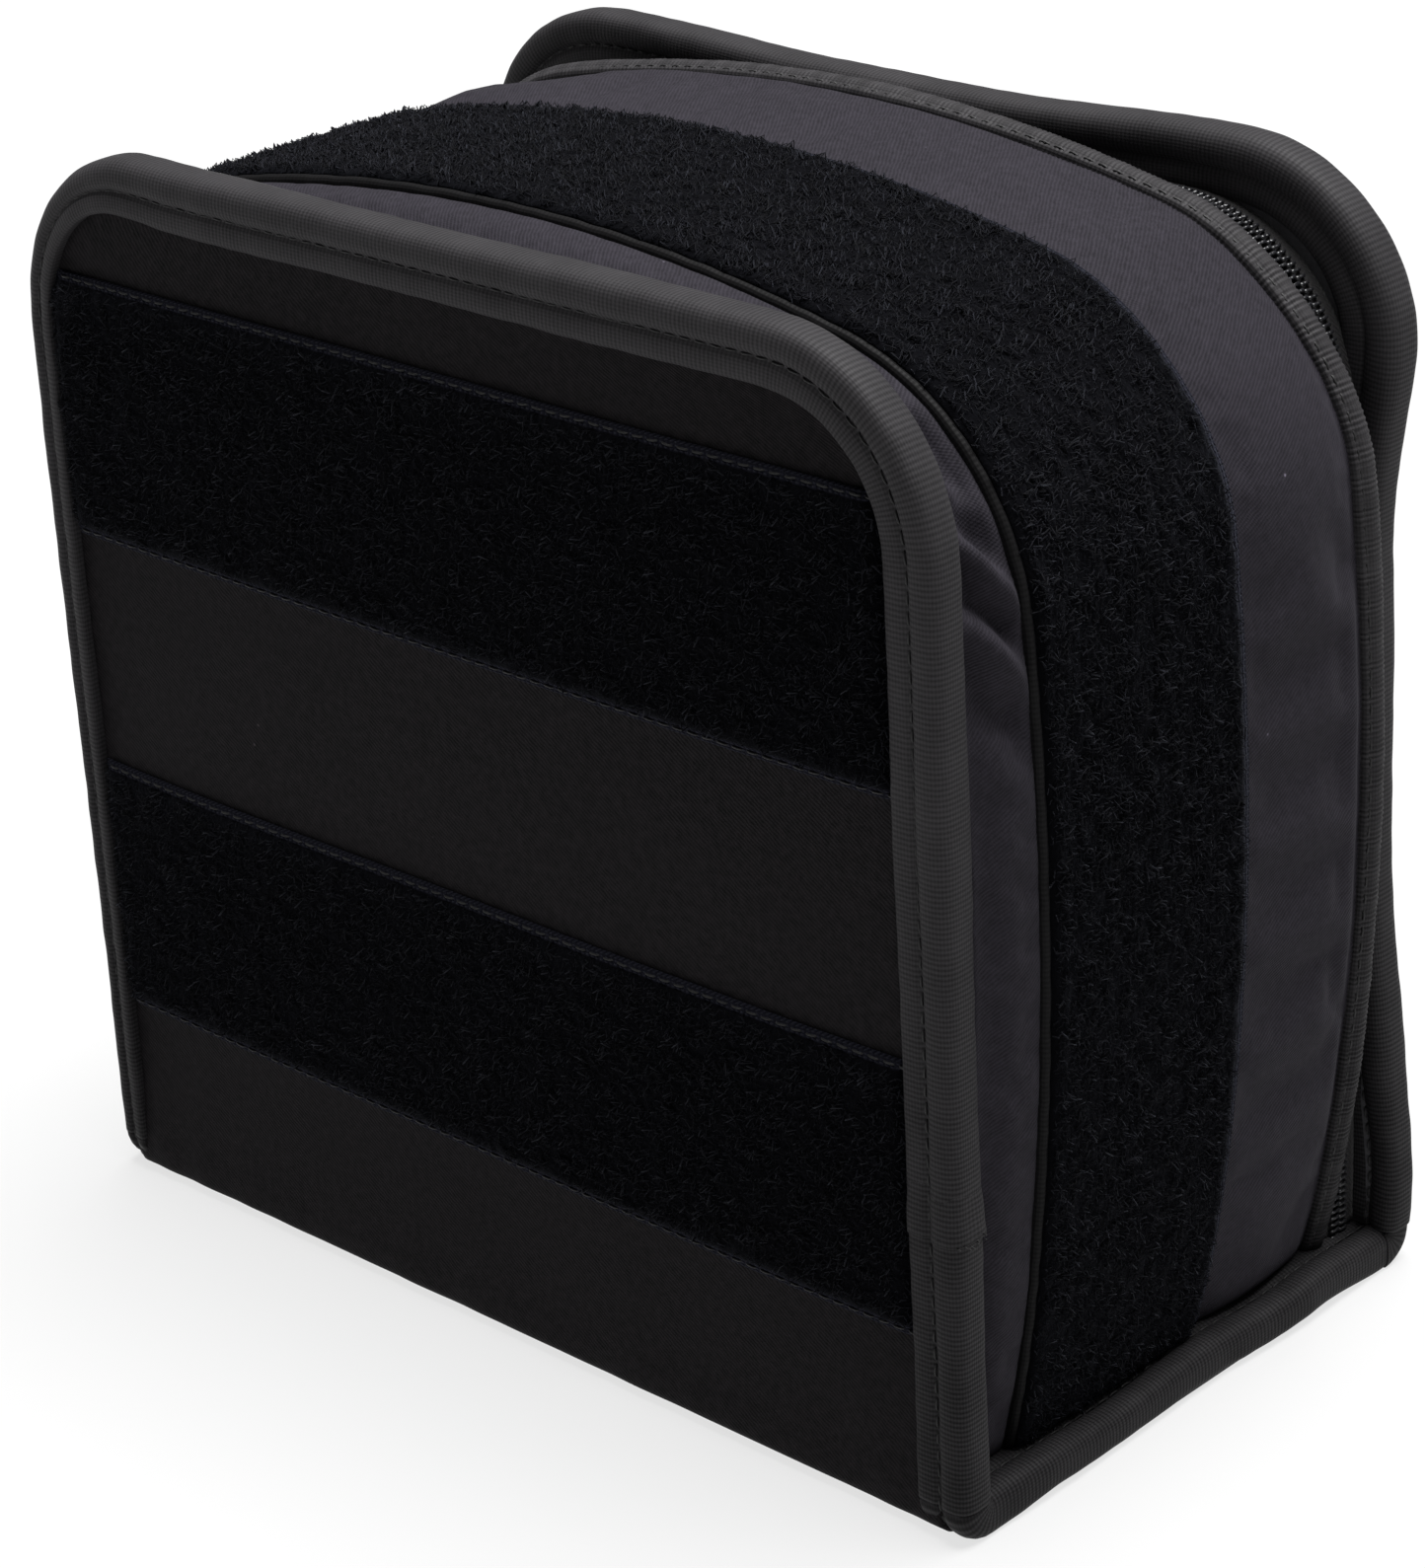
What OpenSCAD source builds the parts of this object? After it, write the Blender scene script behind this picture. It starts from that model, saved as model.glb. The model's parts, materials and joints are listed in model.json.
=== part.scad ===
// Cable organizer pouch: a padded front panel and base in one bound shell, an arched gusset
// with a wide loop band, and a padded door at the back on a three-sided zip.
// Millimetres. +X is the pouch's right, -Y its front, +Z up.
// The origin is on the floor, under the middle of the pouch.

/* [Overall] */
// Width of the front panel and the door, over their bindings
panel_w = 216; // [170:1:280]
// Height of the front panel and the door
panel_h = 206; // [172:1:270]
// Depth from the front binding's face to the door's outer face
depth = 124; // [104:1:180]
// Radius of the panels' top corners
corner_r = 34; // [24:1:45]
// Thickness of a bound panel: cover, board, foam and lining
shell_t = 7; // [6:0.5:9]

/* [Cloth] */
// Thickness of the cover cloth, the lining and the tapes
cloth_t = 1; // [0.8:0.1:1.4]
// Width of the binding tape on each face of a panel
bind_w = 10.5; // [8:0.5:14]
// Thickness of the binding outside the board's edge
bind_t = 1.2; // [0.8:0.1:2]
// Thickness of the foam in the gusset
foam_t = 4; // [2:0.5:6]

/* [Loop strips] */
// Width of the loop tape
loop_w = 50; // [38:1:60]
// Thickness of the loop tape with its pile
loop_t = 1.8; // [1.2:0.1:3]
// Height of the lower front strip's bottom edge
strip_z = 37; // [22:1:45]
// Distance from the panel's top edge down to the upper front strip
strip_drop = 23.5; // [12:0.5:28]

/* [Gusset] */
// How far the gusset's sides stand out past the panels at their widest
side_bulge = 4.5; // [0:0.5:8]
// How far the gusset's feet stand in from the panels' edges
side_tuck = 5; // [2:0.5:6]
// How far the gusset's crown stands above the panels
crown_rise = 1.5; // [0:0.5:6]
// Radius of the gusset's top corners
gusset_r = 46; // [36:1:60]
// How far the crown falls between its middle and the round corners
crown_sag = 6.5; // [3:0.5:8]
// Width of the cloth band between the front panel and the loop band
front_band_w = 12; // [8:0.5:20]
// Width of the cord at the loop band's front edge
piping_w = 1.5; // [1:0.1:3]
// Depth of the rolled binding at the gusset's rear edge
roll_w = 5.5; // [4:0.5:8]

/* [Zip] */
// Distance from the panels' side edges to the zip
zip_side = 6.5; // [6:0.5:12]
// Distance from the panels' top edges to the zip
zip_drop = 8.5; // [7:0.5:12]
// Radius of the zip's top corners
zip_r = 36; // [30:1:45]
// Thickness of the coil
coil_t = 1.6; // [1.2:0.1:2.2]
// Width of one half of the coil
coil_w = 2.5; // [2:0.1:3.2]
// Gap between the two halves, in which the sliders' posts run
zip_gap = 1.2; // [1:0.1:1.6]
// Thickness of the zip tapes
tape_t = 0.8; // [0.5:0.1:1.2]

/* [Sliders] */
// Length of a slider along the zip
slider_l = 11; // [9:0.5:14]
// Width of a slider across the zip
slider_w = 8.4; // [7.4:0.2:9]
// Thickness of a slider's outer and inner plates
plate_t = 1.2; // [0.8:0.1:1.6]
// Length of a pull tab from its pin to its tip
pull_l = 28; // [18:1:36]
// Width of a pull tab
pull_w = 7.4; // [6.6:0.2:9]
// Thickness of a pull tab and diameter of its pin
pull_t = 1.4; // [1:0.1:2]

/* [Inside] */
// Distance from the panels' side edges to what is sewn inside them
inside_margin = 24; // [22:1:40]
// Number of elastic cable loops in a row
loop_count = 4; // [2:1:5]
// Gap between one cable loop and the next
loop_gap = 8; // [4:1:12]
// How far a cable loop stands off its band
loop_rise = 12; // [8:0.5:14]
// Width of the elastic
elastic_w = 25; // [15:1:35]
// Height of the mesh pocket on the door's inner face
pocket_h = 100; // [60:2:120]
// Height of the mesh pocket's bottom edge
pocket_z = 26; // [22:1:40]
// Depth of the mesh pocket
pocket_d = 10; // [8:0.5:12]

/* [Hidden] */
$fn = 48;

run_fit = 0.3;            // clearance between bodies that move past each other
corner_steps = 10;        // flats in a quarter turn
curve_steps = 8;          // flats along a long shallow curve

half_w = panel_w / 2;
y_front = -depth / 2;                    // the front binding's face
y_back = depth / 2;                      // the door's outer face
y_door = y_back - shell_t;               // the door's inner face
bend_r = shell_t;                        // outside bend between the front panel and the base

// The front panel, from its face inwards
y_cover = y_front + loop_t;
y_board = y_cover + cloth_t;
y_lining = y_front + shell_t - cloth_t;
y_inside = y_front + shell_t;
strip_upper_z = panel_h - strip_drop - loop_w;

// The gusset, from front to back
y_piping = y_inside + front_band_w;
y_loop = y_piping + piping_w;
zip_half_w = zip_gap / 2 + coil_w;
y_zip = y_door - slider_w / 2 - 0.8;     // the zip's centre line
y_roll_end = y_zip - slider_w / 2 - run_fit;
y_roll = y_roll_end - roll_w;
z_foot = shell_t;                        // the gusset stands on the base
g_half = half_w + side_bulge;
g_top = panel_h + crown_rise;
g_mid = 0.54 * panel_h;                  // where the sides are widest
foot_drop = side_bulge + side_tuck;
foot_spare = 4;
side_r = (pow(g_mid - z_foot, 2) + pow(foot_drop, 2)) / (2 * foot_drop);
crown_r = (pow(g_half - gusset_r, 2) + pow(crown_sag, 2)) / (2 * crown_sag);
g_cover = loop_t;                        // insets of the gusset's layers
g_foam = g_cover + cloth_t;
g_lining = g_foam + foam_t;
g_inside = g_lining + cloth_t;

// The zip and its sliders
zip_hw = half_w - zip_side;
zip_top = panel_h - zip_drop;
slider_gap = 0.4;                        // between a slider's plates and the zip
slider_x = slider_l / 2 + run_fit;
plate_z = zip_top + slider_gap;
inner_plate_z = zip_top - coil_t - tape_t - slider_gap - plate_t;
bail_w = 2.2;
bail_l = 6.4;
bail_t = 0.9;
pin_fit = 0.2;
pin_z = plate_z + plate_t + pull_t / 2 + pin_fit;
bail_top = pin_z + pull_t / 2 + pin_fit + bail_t;
arm_gap = 0.4;                           // beside the bail
arm_w = 1.4;
tab_start = 4.8;                         // from the pin to the tab, clear of the bail
post_t = zip_gap - 0.5;
post_l = 3;

// The door's hinge
hinge_r = shell_t / 2;
y_hinge = y_back - hinge_r;
z_hinge = hinge_r;
door_z = shell_t + run_fit;

// What is sewn inside
inside_w = panel_w - 2 * inside_margin;
loop_pitch = inside_w / loop_count;
loop_mouth = loop_pitch - loop_gap;

// ---- outlines in the XZ plane, as lists of points ----

function arc(c, r, a0, a1, n) =
    [for (i = [0:n]) let (a = a0 + (a1 - a0) * i / n) c + r * [cos(a), sin(a)]];

function mirrored(half) =
    concat(half, [for (i = [len(half) - 1:-1:0]) [-half[i][0], half[i][1]]]);

function angle_of(v) = atan2(v[1], v[0]);

// A panel's outline: straight sides and a straight top with round corners
function portal(hw, top, r, z0) =
    mirrored(concat([[hw, z0]], arc([hw - r, top - r], r, 0, 90, corner_steps)));

function panel_outline(inset, z0) =
    portal(half_w - inset, panel_h - inset, corner_r - inset, z0);

function zip_outline(inset, z0) = portal(zip_hw - inset, zip_top - inset, zip_r - inset, z0);

// The centre of a round corner that touches the side's arc and the crown's arc from inside
side_c = [g_half - side_r, g_mid];
crown_c = [0, g_top - crown_r];
function meeting(c1, r1, c2, r2) =
    let (d = norm(c2 - c1), u = (c2 - c1) / d, a = (r1 * r1 - r2 * r2 + d * d) / (2 * d),
         h = sqrt(r1 * r1 - a * a))
    c1 + a * u + h * [-u[1], u[0]];
corner_c = meeting(side_c, side_r - gusset_r, crown_c, crown_r - gusset_r);

// The gusset's outline: barrelled sides, round corners and a slight crown. Every inset has its
// points at the same angles, so that layers lie flat against each other, and reaches below the foot.
function gusset_outline(inset) =
    let (a_side = angle_of(corner_c - side_c), a_crown = angle_of(corner_c - crown_c),
         a_foot = asin((z_foot - foot_spare - g_mid) / side_r))
    mirrored(concat(
        arc(side_c, side_r - inset, a_foot, a_side, curve_steps),
        arc(corner_c, gusset_r - inset, a_side, a_crown, corner_steps),
        arc(crown_c, crown_r - inset, a_crown, 90, curve_steps)));

// ---- building blocks ----

// A flat piece with an outline in the XZ plane, from y0 to y1
module slab(outline, y0, y1) {
    translate([0, y1, 0]) rotate([90, 0, 0]) linear_extrude(y1 - y0) polygon(outline);
}

// A slab of the gusset's outline, cut off at its foot
module gusset_slab(inset, y0, y1) {
    intersection() {
        slab(gusset_outline(inset), y0, y1);
        box(-g_half, g_half, y0, y1, z_foot, g_top);
    }
}

// A band between two insets of the gusset's outline
module gusset_band(outer, inner, y0, y1) {
    difference() {
        gusset_slab(outer, y0, y1);
        slab(gusset_outline(inner), y0 - 1, y1 + 1);
    }
}

// A band between two insets of the zip's outline
module zip_band(outer, inner, y0, y1, z0) {
    difference() {
        slab(zip_outline(outer, z0), y0, y1);
        slab(zip_outline(inner, z0 - 1), y0 - 1, y1 + 1);
    }
}

// Binding round a panel's edge: a channel that holds the board from b0 to b1
module panel_binding(y0, y1, b0, b1, z0) {
    difference() {
        slab(panel_outline(0, z0), y0, y1);
        slab(panel_outline(bind_w, z0 - 1), y0 - 1, y1 + 1);
        slab(panel_outline(bind_t, z0 - 1), b0, b1);
    }
}

// A quarter turn from the front panel into the base, between radii r0 and r1 about a line along X
module quarter_bend(y, z, r0, r1, x0, x1) {
    translate([0, y, z]) rotate([-90, 0, 0]) rotate([0, 90, 0])
        rotate_extrude(angle = 90) translate([r0, x0]) square([r1 - r0, x1 - x0]);
}

module box(x0, x1, y0, y1, z0, z1) {
    translate([x0, y0, z0]) cube([x1 - x0, y1 - y0, z1 - z0]);
}

// ---- front panel and base ----

module front_cover() {
    bend = bend_r - loop_t;
    color("#1b1a1c") {
        slab(panel_outline(bind_w, bend), y_cover, y_board);
        quarter_bend(y_cover + bend, bend, bend - cloth_t, bend, bind_w - half_w, half_w - bind_w);
    }
}

module front_board() {
    color("#55565a") slab(panel_outline(bind_t, bend_r), y_board, y_lining);
}

module front_lining() {
    color("#2b2b30") slab(panel_outline(bind_w, shell_t), y_lining, y_inside);
}

module front_binding() {
    color("#252528") panel_binding(y_front, y_inside, y_board, y_lining, bend_r);
}

module base_cover() {
    color("#1b1a1c") box(bind_w - half_w, half_w - bind_w, y_front + bend_r, y_door, 0, cloth_t);
}

module base_board() {
    color("#55565a")
        box(bind_t - half_w, half_w - bind_t, y_front + bend_r, y_door, cloth_t, shell_t - cloth_t);
}

module base_lining() {
    color("#2b2b30")
        box(bind_w - half_w, half_w - bind_w, y_inside, y_door, shell_t - cloth_t, shell_t);
}

// The right-hand side binding of the base, with its bend up into the front panel's
module base_binding() {
    y0 = y_front + bend_r;
    difference() {
        union() {
            box(half_w - bind_w, half_w, y0, y_door, 0, shell_t);
            quarter_bend(y0, bend_r, bend_r - shell_t, bend_r, half_w - bind_w, half_w);
        }
        box(half_w - bind_w - 1, half_w - bind_t, y0, y_door + 1, cloth_t, shell_t - cloth_t);
    }
}

module base_binding_left() {
    color("#252528") mirror([1, 0, 0]) base_binding();
}

module base_binding_right() {
    color("#252528") base_binding();
}

// A loop strip across the front panel, cut to the binding's inner edge
module front_loop_strip(z0) {
    intersection() {
        slab(panel_outline(bind_w, 0), y_front, y_cover);
        box(-half_w, half_w, y_front - 1, y_cover + 1, z0, z0 + loop_w);
    }
}

module front_loop_strip_upper() {
    color("#101014") front_loop_strip(strip_upper_z);
}

module front_loop_strip_lower() {
    color("#101014") front_loop_strip(strip_z);
}

// ---- gusset ----

module gusset_front_band() {
    color("#2a282e") gusset_band(g_cover, g_foam, y_inside, y_piping);
}

module gusset_piping() {
    color("#202024") gusset_band(loop_t / 4, g_foam, y_piping, y_loop);
}

module gusset_loop_band() {
    color("#101014") gusset_band(0, loop_t, y_loop, y_loop + loop_w);
}

module gusset_cover() {
    color("#2a282e") gusset_band(g_cover, g_foam, y_loop, y_roll);
}

module gusset_foam() {
    color("#55565a") gusset_band(g_foam, g_lining, y_inside, y_roll);
}

module gusset_lining() {
    color("#2b2b30") gusset_band(g_lining, g_inside, y_inside, y_roll);
}

// The rolled binding closes the step between the gusset and the zip tape
module gusset_rear_binding() {
    color("#252528") difference() {
        gusset_slab(loop_t / 2, y_roll, y_roll_end);
        slab(zip_outline(coil_t, z_foot - 1), y_roll - 1, y_roll_end + 1);
    }
}

// ---- zip ----

module zip_tape_gusset() {
    color("#1d1c20") zip_band(coil_t, coil_t + tape_t, y_roll, y_zip - zip_gap / 2, z_foot);
}

module zip_coil_gusset() {
    color("#141416") zip_band(0, coil_t, y_zip - zip_half_w, y_zip - zip_gap / 2, z_foot);
}

module zip_tape_door() {
    color("#1d1c20") zip_band(coil_t, coil_t + tape_t, y_zip + zip_gap / 2, y_door, door_z);
}

module zip_coil_door() {
    color("#141416") zip_band(0, coil_t, y_zip + zip_gap / 2, y_zip + zip_half_w, door_z);
}

module rounded_plate(l, w, t, r) {
    linear_extrude(t) {
        square([l - 2 * r, w], center = true);
        square([l, w - 2 * r], center = true);
        for (sx = [-1, 1], sy = [-1, 1]) translate([sx * (l / 2 - r), sy * (w / 2 - r)]) circle(r);
    }
}

// A slider on the left of the meeting point: plates above and below the zip, a post between its
// halves at the nose, and a bail that holds the pull's pin
module zip_slider() {
    translate([-slider_x, y_zip, 0]) {
        translate([0, 0, plate_z]) rounded_plate(slider_l, slider_w, plate_t, 1.6);
        translate([0, 0, inner_plate_z]) rounded_plate(slider_l, slider_w, plate_t, 1.6);
        box(slider_l / 2 - post_l - 1, slider_l / 2 - 1, -post_t / 2, post_t / 2,
            inner_plate_z + plate_t / 2, plate_z + plate_t / 2);
        difference() {
            box(-bail_l / 2, bail_l / 2, -bail_w / 2, bail_w / 2, plate_z + plate_t / 2, bail_top);
            translate([0, 0, pin_z]) rotate([90, 0, 0])
                cylinder(h = bail_w + 2, r = pull_t / 2 + pin_fit, center = true);
        }
    }
}

// A pull on the left of the meeting point, lying flat and pointing away from it
module zip_pull() {
    arm_y = bail_w / 2 + arm_gap;
    tab_l = pull_l - tab_start;
    translate([-slider_x, y_zip, pin_z]) {
        rotate([90, 0, 0]) cylinder(h = 2 * (arm_y + arm_w), r = pull_t / 2, center = true);
        for (s = [-1, 1])
            box(-tab_start - 1, 0, s > 0 ? arm_y : -arm_y - arm_w, s > 0 ? arm_y + arm_w : -arm_y,
                -pull_t / 2, pull_t / 2);
        translate([-tab_start - tab_l / 2, 0, -pull_t / 2]) difference() {
            rounded_plate(tab_l, pull_w, pull_t, 2.4);
            translate([-tab_l / 2 + 5, 0, -1]) cylinder(h = pull_t + 2, r = 1.6);
        }
    }
}

module zip_slider_left() {
    color("#3a3b3f") zip_slider();
}

module zip_slider_right() {
    color("#3a3b3f") mirror([1, 0, 0]) zip_slider();
}

module zip_pull_left() {
    color("#3a3b3f") zip_pull();
}

module zip_pull_right() {
    color("#3a3b3f") mirror([1, 0, 0]) zip_pull();
}

// ---- inside ----

// A row of elastic loops on the front panel's lining: a flat band with arched loops on it
module cable_loops(z0) {
    r = (pow(loop_mouth / 2, 2) + pow(loop_rise, 2)) / (2 * loop_rise);
    a0 = asin((r - loop_rise) / r);
    c = [0, cloth_t + loop_rise - r];
    translate([0, y_inside, z0]) linear_extrude(elastic_w) {
        translate([-inside_w / 2, 0]) square([inside_w, cloth_t]);
        for (i = [0:loop_count - 1]) translate([(i - (loop_count - 1) / 2) * loop_pitch, 0])
            polygon(concat(
                [[r * cos(a0), cloth_t / 2]], arc(c, r, a0, 180 - a0, corner_steps),
                [[-r * cos(a0), cloth_t / 2], [bind_t - r * cos(a0), cloth_t / 2]],
                arc(c, r - bind_t, 180 - a0, a0, corner_steps),
                [[r * cos(a0) - bind_t, cloth_t / 2]]));
    }
}

module cable_loops_upper() {
    color("#222226") cable_loops(panel_h - corner_r - 2 * elastic_w);
}

module cable_loops_lower() {
    color("#222226") cable_loops(panel_h / 4);
}

// A pocket of mesh that stands off the door's lining, open at the top
module mesh_pocket() {
    hw = inside_w / 2;
    color("#3a3a3e") difference() {
        box(-hw, hw, y_door - pocket_d, y_door, pocket_z, pocket_z + pocket_h);
        box(cloth_t - hw, hw - cloth_t, y_door - pocket_d + cloth_t, y_door + 1,
            pocket_z + cloth_t, pocket_z + pocket_h + 1);
    }
}

module mesh_pocket_hem() {
    hem_t = 0.8;
    color("#222226") box(-inside_w / 2, inside_w / 2, y_door - pocket_d - hem_t, y_door - pocket_d,
        pocket_z + pocket_h - 10, pocket_z + pocket_h);
}

// ---- door ----

// The cloth fold that the door turns on, between the base and the door
module hinge_fold() {
    color("#1b1a1c") {
        translate([0, y_hinge, z_hinge]) rotate([0, 90, 0])
            cylinder(h = panel_w, r = hinge_r, center = true, $fn = 96);
        box(-half_w, half_w, y_door, y_hinge, cloth_t / 2, shell_t - cloth_t / 2);
    }
}

module door_cover() {
    color("#1b1a1c") slab(panel_outline(bind_w, door_z), y_back - cloth_t, y_back);
}

module door_board() {
    color("#55565a") slab(panel_outline(bind_t, door_z), y_door + cloth_t, y_back - cloth_t);
}

module door_lining() {
    color("#2b2b30") slab(panel_outline(bind_w, door_z), y_door, y_door + cloth_t);
}

module door_binding() {
    color("#252528") panel_binding(y_door, y_back, y_door + cloth_t, y_back - cloth_t, door_z);
}

front_cover();
front_board();
front_lining();
front_binding();
base_cover();
base_board();
base_lining();
base_binding_left();
base_binding_right();
front_loop_strip_upper();
front_loop_strip_lower();
gusset_front_band();
gusset_piping();
gusset_loop_band();
gusset_cover();
gusset_foam();
gusset_lining();
gusset_rear_binding();
zip_tape_gusset();
zip_coil_gusset();
zip_slider_left();
zip_slider_right();
zip_pull_left();
zip_pull_right();
cable_loops_upper();
cable_loops_lower();
hinge_fold();
door_cover();
door_board();
door_lining();
door_binding();
zip_tape_door();
zip_coil_door();
mesh_pocket();
mesh_pocket_hem();
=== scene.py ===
"""The looks of a padded cable pouch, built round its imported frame: bound panels, an arched gusset with
a wide band of loop pile, a three-sided coil zip and what is sewn inside. Metres, +Z up, -Y the front."""

import json
import math

import bmesh
import bpy
import numpy as np
from bpy.props import FloatProperty, FloatVectorProperty, IntProperty, PointerProperty
from mathutils import Matrix, Vector, noise


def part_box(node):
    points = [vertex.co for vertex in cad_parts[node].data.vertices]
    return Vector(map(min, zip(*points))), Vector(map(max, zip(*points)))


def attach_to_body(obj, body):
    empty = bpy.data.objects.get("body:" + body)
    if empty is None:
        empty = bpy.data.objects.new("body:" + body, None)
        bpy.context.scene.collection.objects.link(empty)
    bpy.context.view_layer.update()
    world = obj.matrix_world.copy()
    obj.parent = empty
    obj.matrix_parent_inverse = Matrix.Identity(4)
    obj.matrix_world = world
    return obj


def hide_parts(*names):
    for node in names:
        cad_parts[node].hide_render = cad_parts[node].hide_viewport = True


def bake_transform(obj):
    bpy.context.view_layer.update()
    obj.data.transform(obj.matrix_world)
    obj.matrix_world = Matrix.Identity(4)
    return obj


bl_info = {
    "name": "Cable Pouch",
    "version": (1, 0, 0),
    "blender": (4, 5, 0),
    "location": "View3D > Sidebar > Pouch",
    "description": "Builds a padded cable pouch round its frame",
    "category": "Object",
}

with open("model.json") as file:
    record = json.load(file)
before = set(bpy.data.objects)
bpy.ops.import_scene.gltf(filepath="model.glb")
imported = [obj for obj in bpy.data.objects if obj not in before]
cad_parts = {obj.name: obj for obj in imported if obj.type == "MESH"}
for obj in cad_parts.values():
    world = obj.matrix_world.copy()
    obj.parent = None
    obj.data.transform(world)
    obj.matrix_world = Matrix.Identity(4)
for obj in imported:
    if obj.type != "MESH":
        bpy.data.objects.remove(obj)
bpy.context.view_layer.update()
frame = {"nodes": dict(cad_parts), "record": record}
NODES = frame["nodes"]
OPENINGS = {o["name"]: o["box_m"] for o in frame["record"]["physics"]["openings"]}
MM = 0.001
# How far inside a panel's edge its cover ends, under the binding.
COVER_INSET = 0.006
# How far inside the panel's edge a strip's pile ends, and how much further out it shows on the left, where
# the binding is narrower.
PILE_INSET = 0.0107
LEFT_SHOWS = 0.0029


# ---- the user's values ----


def length(name, description, default, low, high):
    return FloatProperty(name=name, description=description, default=default, min=low, max=high,
                         unit="LENGTH", precision=5)


def colour(name, description, default):
    return FloatVectorProperty(name=name, description=description, default=default, subtype="COLOR",
                               min=0.0, max=1.0)


class PouchCloth(bpy.types.PropertyGroup):
    shell: colour("Shell", "Cover cloth of the panels and the base", (0.0051, 0.0042, 0.0048))
    gusset: colour("Gusset", "Cover cloth of the gusset", (0.0150, 0.0134, 0.0175))
    binding: colour("Binding", "Ribbed tape on the edges", (0.0272, 0.0259, 0.0276))
    pile: colour("Pile", "Loop pile", (0.0008, 0.0008, 0.0012))
    lining: colour("Lining", "Cloth inside the pouch", (0.0300, 0.0290, 0.0330))
    foam: colour("Foam", "Foam and board under the cloth", (0.0600, 0.0600, 0.0640))
    twill_pitch: length("Twill pitch", "Distance from one twill line to the next", 0.0007, 0.0004, 0.003)
    binding_rib: length("Binding rib", "Distance from one rib of the tape to the next", 0.0009, 0.0006,
                        0.003)
    binding_width: length("Binding width", "Width of the tape's leg on a panel", 0.0105, 0.006, 0.016)


class PouchSewing(bpy.types.PropertyGroup):
    pitch: length("Stitch pitch", "Distance from one stitch to the next", 0.0032, 0.002, 0.006)
    stitch: length("Stitch length", "Length of thread that shows", 0.0024, 0.001, 0.005)
    thread: length("Thread", "Diameter of the thread", 0.00042, 0.0002, 0.001)
    line: length("Stitch line", "Distance from a binding's outer edge to its stitches", 0.0060, 0.003, 0.009)
    slack: FloatProperty(name="Slack", description="Share by which the gusset's cloth is too long",
                         default=0.016, min=0.0, max=0.1)


class PouchPile(bpy.types.PropertyGroup):
    loops: IntProperty(name="Loops", description="Loops of yarn on each piece of tape", default=14400,
                       min=500, max=16500)
    height: length("Loop height", "How far a loop stands up", 0.0010, 0.0004, 0.003)
    yarn: length("Yarn", "Diameter of the yarn", 0.00018, 0.00008, 0.0005)
    selvage: length("Selvage", "Width of the tape's woven edge", 0.0017, 0.0005, 0.004)


class PouchZip(bpy.types.PropertyGroup):
    pitch: length("Tooth pitch", "Distance from one tooth to the next on one side", 0.0013, 0.0008, 0.003)


class PouchStage(bpy.types.PropertyGroup):
    lens: length("Lens", "Focal length on a 36 mm sensor", 0.10388, 0.03, 0.3)
    distance: length("Distance", "From the camera to the pouch", 0.8156, 0.3, 3.0)
    azimuth: FloatProperty(name="Azimuth", description="Camera's turn about the pouch", subtype="ANGLE",
                           default=math.radians(44.69))
    elevation: FloatProperty(name="Elevation", description="Camera's height", subtype="ANGLE",
                             default=math.radians(24.11))
    roll: FloatProperty(name="Roll", description="Camera's roll", subtype="ANGLE",
                        default=math.radians(-3.24))
    aim: FloatVectorProperty(name="Aim", description="Point that the camera looks at", subtype="XYZ",
                             unit="LENGTH", default=(-0.0008, -0.0014, 0.0873))


GROUPS = {"pouch_cloth": PouchCloth, "pouch_sewing": PouchSewing, "pouch_pile": PouchPile,
          "pouch_zip": PouchZip, "pouch_stage": PouchStage}


# ---- shader maths ----


class Wire:
    """A shader socket that adds Math nodes when Python's operators are used on it."""

    def __init__(self, shader, socket):
        self.shader = shader
        self.socket = socket

    def math(self, operation, *others):
        return self.shader.node("ShaderNodeMath", {"operation": operation}, self, *others)

    def __add__(self, other):
        return self.math("ADD", other)

    def __radd__(self, other):
        return self.math("ADD", other)

    def __sub__(self, other):
        return self.math("SUBTRACT", other)

    def __rsub__(self, other):
        return self.shader.node("ShaderNodeMath", {"operation": "SUBTRACT"}, other, self)

    def __mul__(self, other):
        return self.math("MULTIPLY", other)

    def __rmul__(self, other):
        return self.math("MULTIPLY", other)

    def wave(self, pitch):
        """A sine of that pitch, from 0 to 1."""
        return (self * (2 * math.pi / pitch)).math("SINE") * 0.5 + 0.5

    def sharp(self, low, high):
        """0 below low, 1 above high, straight in between."""
        return self.shader.node("ShaderNodeMapRange", {}, self, low, high)


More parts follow.
